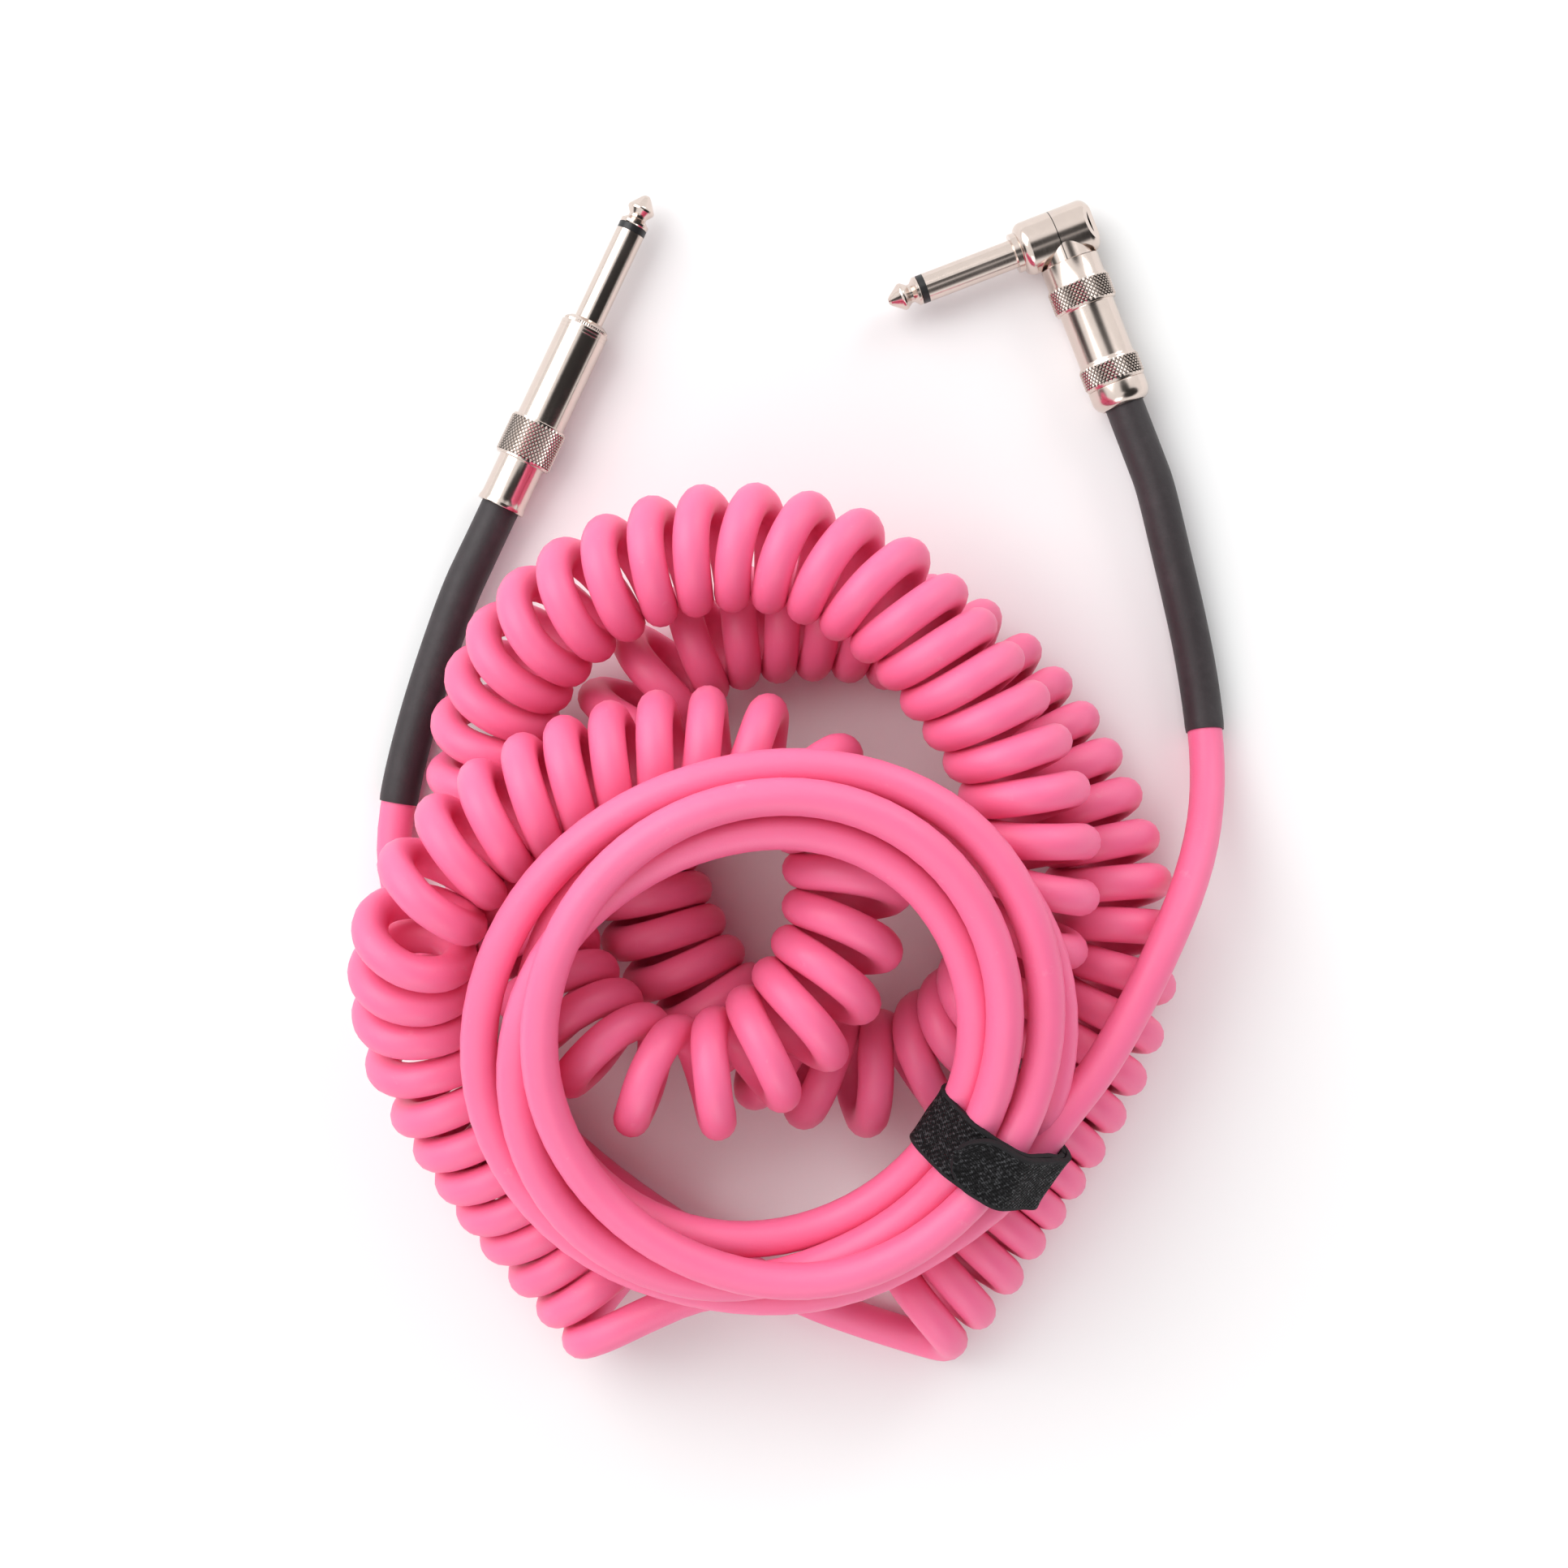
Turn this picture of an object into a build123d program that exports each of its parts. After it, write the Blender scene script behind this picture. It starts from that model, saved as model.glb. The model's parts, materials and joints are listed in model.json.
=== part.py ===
from build123d import *
import math
import os

# Instrument cable: a straight quarter-inch plug (A) and a right-angle one (B) on one
# cable that is part plain lead and part curly, laid flat with its spare lead tied in a
# ring. Millimetres, +Z up, the surface that it lies on is Z = 0.

# ---------------------------------------------------------------- driving dimensions
# Cable
CABLE_R = 3.85                 # jacket of the cable
SHRINK_WALL = 0.45             # heat-shrink sleeve over the jacket
CORE_R = 1.1                   # insulated inner conductor
SHIELD_R = 0.7                 # twisted pigtail of the braided shield
CURLY_R = 13.7                 # outside of the curly section
RING_R = 9.4                   # round bundle of the tied ring

# Quarter-inch contact, the same on both plugs
SHAFT_R = 3.175
SHAFT_BORE_R = 2.1
SHAFT_SEAT_R = 2.8             # shank of the right-angle plug's shaft, pressed in its head
ROD_R = 1.15
TIP_LENGTH = 7.3
TIP_WAIST_R = 2.05
TIP_BALL_R = 3.0
TIP_NOSE_R = 0.6               # flat end of the nose
TIP_RING_LENGTH = 1.4
FIT = 0.05                     # radial clearance of a thread
SEAT = 0.02                    # radial clearance of a piece that is pressed or crimped on
WASHER_R = 2.6
LUG_R = 2.2
LUG_REACH = 4.4                # tongue of the tip's solder lug
LUG_THICKNESS = 0.5
LUG_RISE = 1.6                 # tongue above the plug's axis
LUG_WIDTH = 1.8
CLAMP_WALL = 0.4
CLAMP_BAND = 3.4               # band of the ground clamp along the cord
CLAMP_SLOT = 2.0               # split in that band
CLAMP_SETBACK = 1.6            # band behind the end of the jacket
CLAMP_ROOM = 0.22              # ground clamp to the liner round it
STRIP_GAP = 0.06               # corners of the straight plug's ground strip to the liner
STRIP_REACH = 0.18             # corners of the right-angle plug's ground strip past its band

BAND_EDGE = 0.4                # chamfer of the knurled bands

# Straight plug, along its own axis with zero at the front of its flange
A_SHAFT_LENGTH = 30.4          # flange to the end of the tip
A_FLANGE_STEP = 0.15           # flange past the thread
A_FLANGE_LENGTH = 1.6
A_THREAD_LENGTH = 6.0
A_SHELL_WALL = 0.55
A_SMOOTH_LENGTH = 23.2
A_KNURL_WALL = 1.5
A_KNURL_LENGTH = 9.4
A_TAIL_WALL = 0.55
A_TAIL_LIP = 0.3               # lip past the tail's wall
A_TAIL_LENGTH = 11.0
A_BORE_STEP = 1.0              # end of the wide bore, ahead of the back of the knurled band
A_WASHER_LENGTH = 1.0
A_CORD_START = 21.0            # end of the jacket, behind the flange

# Right-angle plug, from the crossing of its shaft axis and its barrel axis
B_SHAFT_LENGTH = 29.4
B_HEAD_R = 6.0
B_HEAD_WALL = 1.1
B_HEAD_FRONT = 9.6             # head, ahead of the barrel axis
B_HEAD_BACK = 7.9              # and behind it
B_SEAM = 1.0                   # where the back cover meets the housing
B_COLLAR_R = 4.4
B_COLLAR_LENGTH = 1.2
B_THREAD_R = 5.55
B_THREAD_LENGTH = 6.0
B_FRONT_WALL = 1.8
B_ROUNDING = 2.2               # edge of the head, front and back
B_FOOT_BEARING = 0.17          # ground clamp's foot on the end of the stub
B_BARREL_START = 6.1
B_NECK_WALL = 0.95
B_NECK_LENGTH = 4.7
B_KNURL_WALL = 1.5
B_KNURL_LENGTH = 5.9
B_SMOOTH_WALL = 0.6
B_SMOOTH_LENGTH = 12.6
B_REAR_KNURL_WALL = 1.25
B_REAR_KNURL_LENGTH = 5.3
B_TAIL_WALL = 0.9
B_TAIL_LENGTH = 5.1
B_BORE_STEP = 0.5              # end of the wide bore, ahead of the tail
B_WASHER_LENGTH = 0.6
B_SLEEVE_INSIDE = 4.0          # shaft's back end, ahead of the barrel axis
B_CORD_START = 18.0            # end of the jacket, behind the shaft axis

# What slides off when a shell or a barrel is unscrewed
LINER_WALL = 0.36
STRAIGHT_SPARE = 1.0           # straight cord past the furthest place of a tail
FIRST_RUN = 6.0                # straight run of each free lead before it bends
SLEEVE_A_LENGTH = 87.0         # heat-shrink sleeves, along the cord
SLEEVE_B_LENGTH = 89.0
A_SLEEVE_START = 28.0
B_SLEEVE_START = 25.0
LINER_GAP = 0.05               # liner to the bore around it
LINER_FRONT_GAP = 0.6          # liner to the threaded stub
LINER_BACK_GAP = 0.2           # liner to the end of its bore
TAIL_GAP = 0.25                # heat-shrink sleeve to the hole in the tail
TRAVEL = 12.0                  # how far a shell or a barrel slides back

# Hook-and-loop tie
TIE_WIDTH = 13.5
TIE_THICKNESS = 1.6
TIE_GAP = 0.6
TIE_CORNER = 1                 # the ring's corner that it is round
TIED_LEAD = (11.8, -8.0)       # lead B beside the ring, outward and up from the ring's middle
HOOK_LENGTH = 16.0
HOOK_THICKNESS = 1.2

# ---------------------------------------------------------------- places and routes
A_LINER_BORE_R = CABLE_R + SEAT + CLAMP_WALL + CLAMP_ROOM
B_STUB_BORE_R = CABLE_R + SEAT + CLAMP_WALL - B_FOOT_BEARING
A_SHELL_BORE_R = A_LINER_BORE_R + LINER_WALL + LINER_GAP
A_KNURL_R = A_SHELL_BORE_R + A_KNURL_WALL
B_BARREL_BORE_R = B_THREAD_R + FIT
B_KNURL_R = B_BARREL_BORE_R + B_KNURL_WALL
PLUG_A_AT = (-45.4, 98.9, A_KNURL_R + FIT)
PLUG_A_ANGLE = 64.65           # of the axis towards the tip, from +X
PLUG_B_AT = (58.2, 117.5, B_KNURL_R + FIT)
PLUG_B_ANGLE = 201.0           # of the shaft towards the tip, from +X

# Free lead of the straight plug, from its straight stretch to the curly section
LEAD_A = [
    (-76.5, 29.5, 6.1), (-80.7, 16.9, 5.2), (-84.9, 4.7, 4.7), (-88.1, -7.5, 4.5),
    (-88.9, -19.7, 4.2), (-85.9, -32.1, 3.9), (-80.3, -45.1, 3.9), (-72.5, -57.5, 3.9),
    (-62.9, -69.5, 3.9), (-51.7, -81.5, 3.9), (-38.7, -92.3, 3.9), (-24.5, -101.9, 3.9),
    (-9.9, -110.7, 3.9), (3.7, -117.3, 3.95), (17.5, -121.5, 4.8), (31.5, -119.9, 8.6),
]
# Free lead of the right-angle plug, from its straight stretch to the tied ring
LEAD_B = [
    (82.3, 50.1, 6.5), (85.5, 37.3, 5.6), (88.3, 24.7, 4.9), (90.3, 11.7, 4.8),
    (90.8, -0.9, 8.0), (88.7, -13.1, 16.2), (84.1, -25.1, 26.0), (77.7, -37.9, 32.2),
    (71.1, -50.7, 34.6), (63.3, -63.1, 38.6), (53.4, -74.1, 41.4), (44.3, -88.8, 36.4),
    (35.9, -97.1, 36.6), (26.1, -101.9, 38.4),
]
# Link from the far end of the curly section up into the tied ring
LINK = [
    (-46.5, -121.3, 13.6), (-34.5, -122.9, 12.6), (-22.7, -119.7, 14.2), (-11.5, -114.1, 18.6),
    (0.1, -110.1, 24.0), (11.9, -106.7, 29.6),
]
# Axis of the curly section, from the end of lead A to the start of the link
CURLY = [
    (26.5, -116.9, 13.7), (35.5, -107.9, 13.75), (42.7, -96.9, 13.7), (50.5, -84.9, 13.75),
    (59.3, -71.4, 13.7), (66.5, -56.9, 13.75), (70.5, -41.9, 13.7), (69.0, -26.9, 13.75),
    (64.5, -11.9, 13.7), (56.5, 3.1, 13.75), (46.5, 16.1, 13.7), (35.5, 26.1, 13.75), (22.5, 31.3, 13.7),
    (7.5, 33.5, 13.75), (-8.5, 32.7, 13.7), (-22.5, 27.9, 13.75), (-32.5, 17.5, 13.7),
    (-37.5, 3.1, 13.75), (-35.9, -13.9, 13.7), (-31.1, -29.9, 13.75), (-23.9, -44.5, 13.7),
    (-13.1, -56.9, 13.75), (1.5, -64.5, 13.7), (16.5, -66.9, 13.8), (29.5, -61.9, 15.0),
    (39.5, -52.9, 23.0), (46.5, -41.9, 31.5), (50.5, -27.9, 36.0), (50.5, -13.9, 38.0), (46.5, 0.1, 39.4),
    (39.5, 12.7, 41.0), (30.5, 24.1, 42.2), (20.5, 35.1, 42.2), (7.9, 43.1, 40.6), (-7.5, 47.1, 38.4),
    (-22.5, 46.1, 36.6), (-36.5, 41.5, 35.0), (-49.1, 34.1, 31.4), (-58.5, 24.7, 25.6),
    (-64.5, 13.1, 19.0), (-66.5, 0.1, 14.4), (-65.5, -13.9, 13.9), (-60.3, -27.9, 20.4),
    (-54.1, -40.5, 27.8), (-45.7, -52.9, 30.6), (-36.5, -61.9, 35.0), (-25.5, -65.3, 39.2), (-13.5, -62.7, 41.6),
    (-2.5, -55.3, 41.8), (5.5, -44.9, 41.0), (10.5, -32.9, 39.6), (11.5, -20.5, 38.4), (8.5, -8.9, 38.0),
    (0.5, 0.1, 38.2), (-10.9, 3.9, 39.2), (-23.5, 3.9, 41.2), (-36.5, 1.5, 42.1),
    (-48.5, -2.9, 42.4), (-60.5, -8.9, 42.5), (-70.9, -17.9, 42.4), (-78.7, -30.9, 41.4),
    (-81.5, -45.9, 31.0), (-78.9, -60.9, 23.4), (-71.5, -73.9, 21.9), (-63.7, -85.9, 19.0),
    (-56.3, -96.9, 15.2), (-48.5, -106.9, 13.8), (-39.5, -115.9, 13.75),
]
CURLY_SPANS = {"curly_outer_loop": (0, 26), "curly_top_loop": (26, 43),
               "curly_inner_loop": (43, 56), "curly_left_loop": (56, 68)}
# Middle of the tied ring, which leans up on the curly section behind it
RING = [
    (46.9, -52.1, 55.0), (38.9, -77.9, 46.4), (20.1, -96.1, 40.0), (-4.9, -103.1, 37.6),
    (-30.5, -97.5, 39.4), (-50.7, -79.1, 47.6), (-57.1, -52.1, 55.0), (-47.7, -27.1, 60.0),
    (-27.9, -11.7, 62.8), (-4.9, -5.7, 62.6), (19.7, -9.5, 61.4), (39.9, -26.1, 58.6),
]


# ---------------------------------------------------------------- shared helpers
def turned(points):
    """A solid of revolution about Z from (radius, height) corners."""
    return revolve(Plane.XZ * make_face(Polyline(*points, close=True)), Axis.Z)


def tube(outer_r, inner_r, low, high):
    return turned([(inner_r, low), (outer_r, low), (outer_r, high), (inner_r, high)])


def rod(radius, low, high):
    return Pos(0, 0, low) * Cylinder(radius, high - low, align=(Align.CENTER, Align.CENTER, Align.MIN))


def arc_radii(points, closed=False):
    """The largest tangent arc that each corner of a route leaves room for."""
    count = len(points)
    corners = range(count) if closed else range(1, count - 1)
    radii = []
    for i in corners:
        before = Vector(points[i]) - Vector(points[i - 1])
        after = Vector(points[(i + 1) % count]) - Vector(points[i])
        half_turn = math.radians(before.get_angle(after)) / 2
        radii.append(0.45 * min(before.length, after.length) / math.tan(half_turn))
    return radii


def swept(outer_r, path, inner_r=0.0):
    """A round tube along a path, hollow when it has an inner radius."""
    start = Plane(origin=path @ 0, z_dir=path % 0)
    section = Circle(outer_r)
    if inner_r:
        section -= Circle(inner_r)
    return sweep(start * section, path=path)


def save(name, solid):
    export_step(solid, f"parts/{name}.step")


os.makedirs("parts", exist_ok=True)
SHRINK_R = CABLE_R + SHRINK_WALL


# ---------------------------------------------------------------- quarter-inch contact
def tip_contact(length, rod_back):
    """Ball tip with its waist, on the rod that runs back through the shaft."""
    shoulder = length - TIP_LENGTH
    stem = Polyline((0, rod_back), (ROD_R, rod_back), (ROD_R, shoulder), (SHAFT_R - 0.2, shoulder),
                    (SHAFT_R, shoulder + 0.35), (SHAFT_R, shoulder + 0.9),
                    (TIP_WAIST_R, shoulder + 1.9), (TIP_WAIST_R, shoulder + 2.5),
                    (TIP_BALL_R - 0.05, shoulder + 3.7))
    ball = ThreePointArc((TIP_BALL_R - 0.05, shoulder + 3.7), (TIP_BALL_R, shoulder + 4.25),
                         (TIP_BALL_R - 0.25, shoulder + 4.7))
    nose = Polyline((TIP_BALL_R - 0.25, shoulder + 4.7), (TIP_NOSE_R + 0.5, length - 0.45),
                    (TIP_NOSE_R, length), (0, length), (0, rod_back))
    return revolve(Plane.XZ * Face(Wire([*stem.edges(), ball, *nose.edges()])), Axis.Z)


def tip_ring(length):
    low = length - TIP_LENGTH - TIP_RING_LENGTH
    return tube(SHAFT_R, ROD_R + SEAT, low, low + TIP_RING_LENGTH)


def rod_insulator(length, back):
    return tube(SHAFT_BORE_R - SEAT, ROD_R + SEAT, back, length - TIP_LENGTH - TIP_RING_LENGTH)


def solder_lug(front):
    """Flat lug riveted to the back of the rod, with a tongue that the core is soldered to."""
    plate = tube(LUG_R, ROD_R + SEAT, front - LUG_THICKNESS, front)
    tongue = Pos(0, LUG_RISE, front - LUG_REACH / 2) * Box(LUG_WIDTH, LUG_THICKNESS, LUG_REACH)
    return plate + tongue


def cord_clamp(front, band_front, corner_reach):
    """Ground strip from the plug's body to a split band that is crimped round the jacket."""
    inner_r = CABLE_R + SEAT
    reach = inner_r + CLAMP_WALL + corner_reach
    band_back = band_front - CLAMP_BAND
    band = tube(inner_r + CLAMP_WALL, inner_r, band_back, band_front)
    band -= Pos(0, inner_r, (band_front + band_back) / 2) * Box(CLAMP_SLOT, 2.0, CLAMP_BAND)
    strip_width = 2 * math.sqrt(reach**2 - (inner_r + CLAMP_WALL) ** 2)
    strip_middle = -(inner_r + CLAMP_WALL / 2)
    strip = Pos(0, strip_middle, (front + band_back) / 2) * Box(strip_width, CLAMP_WALL, front - band_back)
    foot = tube(inner_r + CLAMP_WALL, WASHER_R + CLAMP_WALL, front - LUG_THICKNESS, front)
    return band + strip + foot


def core(jacket_end, lug_back):
    """Insulated conductor from the cut jacket to the underside of the lug's tongue."""
    middle = LUG_RISE - LUG_THICKNESS / 2 - CORE_R
    return Pos(0, middle, 0) * rod(CORE_R, -jacket_end, lug_back + LUG_REACH / 2)


def shield(jacket_end, length):
    """Twisted braid from the cut jacket along the inside of the ground strip."""
    middle = -(CABLE_R + SEAT - SHIELD_R)
    return Pos(0, middle, 0) * rod(SHIELD_R, -jacket_end, length - jacket_end)


# ---------------------------------------------------------------- straight plug
angle_a = math.radians(PLUG_A_ANGLE)
plug_a = Plane(PLUG_A_AT, x_dir=(0, 0, 1), z_dir=(math.cos(angle_a), math.sin(angle_a), 0)).location
A_THREAD_R = A_SHELL_BORE_R - FIT
A_BODY_BACK = -A_FLANGE_LENGTH - A_THREAD_LENGTH
A_WASHER_BACK = A_BODY_BACK - A_WASHER_LENGTH
A_CLAMP_FRONT = -A_CORD_START - CLAMP_SETBACK
A_FLANGE_R = A_THREAD_R + A_FLANGE_STEP
A_SHELL_R = A_SHELL_BORE_R + A_SHELL_WALL
A_SHELL_FRONT = -A_FLANGE_LENGTH
A_KNURL_FRONT = A_SHELL_FRONT - A_SMOOTH_LENGTH
A_KNURL_BACK = A_KNURL_FRONT - A_KNURL_LENGTH
A_TAIL_BACK = A_KNURL_BACK - A_TAIL_LENGTH
A_BORE_BACK = A_KNURL_BACK + A_BORE_STEP
A_STRAIGHT_END = -A_TAIL_BACK + TRAVEL + STRAIGHT_SPARE
TAIL_HOLE_R = SHRINK_R + TAIL_GAP
A_TAIL_R = TAIL_HOLE_R + A_TAIL_WALL
A_TAIL_LIP_R = A_TAIL_R + A_TAIL_LIP


def straight_body():
    """Shaft contact, chamfered flange and threaded stub, turned in one piece."""
    shaft_end = A_SHAFT_LENGTH - TIP_LENGTH - TIP_RING_LENGTH
    return turned([
        (SHAFT_BORE_R, A_BODY_BACK), (A_THREAD_R, A_BODY_BACK), (A_THREAD_R, -A_FLANGE_LENGTH),
        (A_FLANGE_R, -A_FLANGE_LENGTH), (A_FLANGE_R, 0.4 - A_FLANGE_LENGTH),
        (SHAFT_R + 0.7, 0), (SHAFT_R, 0), (SHAFT_R, shaft_end), (SHAFT_BORE_R, shaft_end),
    ])


def straight_shell():
    """Screw-on shell: smooth barrel, knurled band and tail, with a stepped bore."""
    return turned([
        (A_SHELL_BORE_R, A_SHELL_FRONT), (A_SHELL_R, A_SHELL_FRONT), (A_SHELL_R, A_KNURL_FRONT),
        (A_KNURL_R - BAND_EDGE, A_KNURL_FRONT), (A_KNURL_R, A_KNURL_FRONT - BAND_EDGE),
        (A_KNURL_R, A_KNURL_BACK + BAND_EDGE), (A_KNURL_R - BAND_EDGE, A_KNURL_BACK),
        (A_TAIL_R, A_KNURL_BACK),
        (A_TAIL_R, A_TAIL_BACK + 2.0), (A_TAIL_LIP_R, A_TAIL_BACK + 0.3), (A_TAIL_LIP_R, A_TAIL_BACK),
        (TAIL_HOLE_R, A_TAIL_BACK), (TAIL_HOLE_R, A_BORE_BACK), (A_SHELL_BORE_R, A_BORE_BACK),
    ])


def seated(frame, name, solid):
    save(name, frame * solid)


seated(plug_a, "plug_a_tip", tip_contact(A_SHAFT_LENGTH, A_WASHER_BACK - LUG_THICKNESS))
seated(plug_a, "plug_a_tip_ring", tip_ring(A_SHAFT_LENGTH))
seated(plug_a, "plug_a_body", straight_body())
seated(plug_a, "plug_a_rod_insulator", rod_insulator(A_SHAFT_LENGTH, A_BODY_BACK))
seated(plug_a, "plug_a_rear_washer", tube(WASHER_R, ROD_R + SEAT, A_WASHER_BACK, A_BODY_BACK))
seated(plug_a, "plug_a_tip_lug", solder_lug(A_WASHER_BACK))
seated(plug_a, "plug_a_ground_clamp", cord_clamp(A_BODY_BACK, A_CLAMP_FRONT, CLAMP_ROOM - STRIP_GAP))
seated(plug_a, "plug_a_shell", straight_shell())
seated(plug_a, "plug_a_liner", tube(A_SHELL_BORE_R - LINER_GAP, A_LINER_BORE_R,
                                    A_BORE_BACK + LINER_BACK_GAP, A_BODY_BACK - LINER_FRONT_GAP))
seated(plug_a, "cable_core_a", core(A_CORD_START, A_WASHER_BACK - LUG_REACH))
seated(plug_a, "cable_shield_a", shield(A_CORD_START, 6.0))
seated(plug_a, "cable_end_a", rod(CABLE_R, -A_STRAIGHT_END, -A_CORD_START))

# ---------------------------------------------------------------- right-angle plug
# Its own frame has +X along the shaft to the tip and +Y along the barrel to the cord.
# The shaft's frame has its zero at the front of the collar; the barrel's looks back to the head.
angle_b = math.radians(PLUG_B_ANGLE)
B_COLLAR_FRONT = B_HEAD_FRONT + B_COLLAR_LENGTH
plug_b = Plane(PLUG_B_AT, x_dir=(math.cos(angle_b), math.sin(angle_b), 0), z_dir=(0, 0, 1)).location
shaft_b = plug_b * Plane((B_COLLAR_FRONT, 0, 0), x_dir=(0, 0, 1), z_dir=(1, 0, 0)).location
barrel_b = plug_b * Plane((0, 0, 0), x_dir=(0, 0, 1), z_dir=(0, -1, 0)).location
along_x = Rot(0, 90, 0)
along_y = Rot(-90, 0, 0)
B_HEAD_BORE_R = B_HEAD_R - B_HEAD_WALL
B_STUB_END = B_BARREL_START + B_THREAD_LENGTH
B_LINER_BORE_R = B_BARREL_BORE_R - LINER_GAP - LINER_WALL
B_NECK_R = B_BARREL_BORE_R + B_NECK_WALL
B_SMOOTH_R = B_BARREL_BORE_R + B_SMOOTH_WALL
B_REAR_KNURL_R = B_BARREL_BORE_R + B_REAR_KNURL_WALL
B_TAIL_R = B_BARREL_BORE_R + B_TAIL_WALL
B_FIRST_KNURL = B_BARREL_START + B_NECK_LENGTH
B_SMOOTH_START = B_FIRST_KNURL + B_KNURL_LENGTH
B_REAR_KNURL = B_SMOOTH_START + B_SMOOTH_LENGTH
B_TAIL_START = B_REAR_KNURL + B_REAR_KNURL_LENGTH
B_BARREL_END = B_TAIL_START + B_TAIL_LENGTH
B_STRAIGHT_END = B_BARREL_END + TRAVEL + STRAIGHT_SPARE
B_BORE_END = B_TAIL_START - B_BORE_STEP
B_SLEEVE_BACK = B_SLEEVE_INSIDE - B_COLLAR_FRONT
B_LUG_FRONT = B_SLEEVE_BACK - B_WASHER_LENGTH
B_CLAMP_FRONT = -B_CORD_START - CLAMP_SETBACK


def head_room():
    """Room inside the head for the tip's lug, with the way out through the stub."""
    room = along_x * rod(B_HEAD_BORE_R, B_HEAD_WALL - B_HEAD_BACK, B_HEAD_FRONT - B_FRONT_WALL)
    return room + along_y * rod(B_STUB_BORE_R, 0, B_STUB_END + 1)


def housing():
    """Front of the head with its collar, and the threaded stub for the barrel."""
    front = along_x * rod(B_HEAD_R, B_SEAM, B_HEAD_FRONT)
    front = fillet(front.edges().filter_by(GeomType.CIRCLE).sort_by(Axis.X)[-1], B_ROUNDING)
    collar = along_x * rod(B_COLLAR_R, B_HEAD_FRONT - B_FRONT_WALL, B_COLLAR_FRONT)
    stub = along_y * rod(B_THREAD_R, 0, B_STUB_END)
    shaft_hole = along_x * rod(SHAFT_SEAT_R + SEAT, 0, B_COLLAR_FRONT + 1)
    return front + collar + stub - head_room() - shaft_hole


def back_cover():
    """Cap pressed on the back of the head: rounded edge, sloped facet and a notch for the stub."""
    cap = along_x * rod(B_HEAD_R, -B_HEAD_BACK, B_SEAM)
    cap = fillet(cap.edges().filter_by(GeomType.CIRCLE).sort_by(Axis.X)[0], B_ROUNDING)
    facet = Plane((-B_HEAD_BACK + 0.9, 0, B_HEAD_R - 2.0), z_dir=(-0.8, 0, 0.6)).location
    cap -= facet * Pos(0, 0, 5) * Box(30, 30, 10)
    notch = along_y * rod(B_THREAD_R + SEAT, 0, B_HEAD_R + 1)
    return cap - head_room() - notch


def barrel():
    """Screw-on barrel: neck, two knurled bands, smooth grip and rounded tail."""
    outline = [
        (B_BARREL_BORE_R, B_BARREL_START), (B_NECK_R, B_BARREL_START), (B_NECK_R, B_FIRST_KNURL),
        (B_KNURL_R, B_FIRST_KNURL + BAND_EDGE), (B_KNURL_R, B_SMOOTH_START - BAND_EDGE),
        (B_SMOOTH_R, B_SMOOTH_START), (B_SMOOTH_R, B_REAR_KNURL),
        (B_REAR_KNURL_R, B_REAR_KNURL + BAND_EDGE), (B_REAR_KNURL_R, B_TAIL_START - BAND_EDGE),
        (B_TAIL_R, B_TAIL_START), (B_TAIL_R, B_BARREL_END - 2.6), (B_TAIL_R - 0.5, B_BARREL_END - 1.2),
        (TAIL_HOLE_R + 0.3, B_BARREL_END), (TAIL_HOLE_R, B_BARREL_END), (TAIL_HOLE_R, B_BORE_END),
        (B_BARREL_BORE_R, B_BORE_END),
    ]
    return turned([(radius, -distance) for radius, distance in outline])


def shaft_sleeve():
    """Shaft contact with a thinner shank that is pressed into the head."""
    shaft_end = B_SHAFT_LENGTH - TIP_LENGTH - TIP_RING_LENGTH
    shank = tube(SHAFT_SEAT_R, SHAFT_BORE_R, B_SLEEVE_BACK, 0)
    return shank + tube(SHAFT_R, SHAFT_BORE_R, 0, shaft_end)


seated(shaft_b, "plug_b_tip", tip_contact(B_SHAFT_LENGTH, B_LUG_FRONT - LUG_THICKNESS))
seated(shaft_b, "plug_b_tip_ring", tip_ring(B_SHAFT_LENGTH))
seated(shaft_b, "plug_b_sleeve", shaft_sleeve())
seated(shaft_b, "plug_b_rod_insulator", rod_insulator(B_SHAFT_LENGTH, B_SLEEVE_BACK))
seated(shaft_b, "plug_b_rear_washer", tube(WASHER_R, ROD_R + SEAT, B_LUG_FRONT, B_SLEEVE_BACK))
seated(plug_b, "plug_b_housing", housing())
seated(plug_b, "plug_b_back_cover", back_cover())
seated(shaft_b, "plug_b_tip_lug", tube(LUG_R, ROD_R + SEAT, B_LUG_FRONT - LUG_THICKNESS, B_LUG_FRONT))
seated(barrel_b, "plug_b_ground_clamp", cord_clamp(-B_STUB_END, B_CLAMP_FRONT, STRIP_REACH))
seated(barrel_b, "plug_b_barrel", barrel())
seated(barrel_b, "plug_b_liner", tube(B_BARREL_BORE_R - LINER_GAP, B_LINER_BORE_R,
                                      LINER_BACK_GAP - B_BORE_END, -B_STUB_END - LINER_FRONT_GAP))
seated(barrel_b, "cable_core_b", rod(CORE_R, -B_CORD_START, -LUG_R - 1.2))
seated(barrel_b, "cable_shield_b", shield(B_CORD_START, 4.0))
seated(barrel_b, "cable_end_b", rod(CABLE_R, -B_STRAIGHT_END, -B_CORD_START))


# ---------------------------------------------------------------- cable
def lead_route(frame, straight_end, corners):
    """Route of a free lead: straight out of its plug, then the corners given."""
    start = (frame * Pos(0, 0, -straight_end)).position
    bend = (frame * Pos(0, 0, -straight_end - FIRST_RUN)).position
    return [start, bend, *corners]


def tube_path(name, route, closed=False):
    radii = arc_radii(route, closed)
    print(name, "arc radii", " ".join(f"{radius:.0f}" for radius in radii))
    return FilletPolyline(*route, radius=radii, close=closed)


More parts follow.
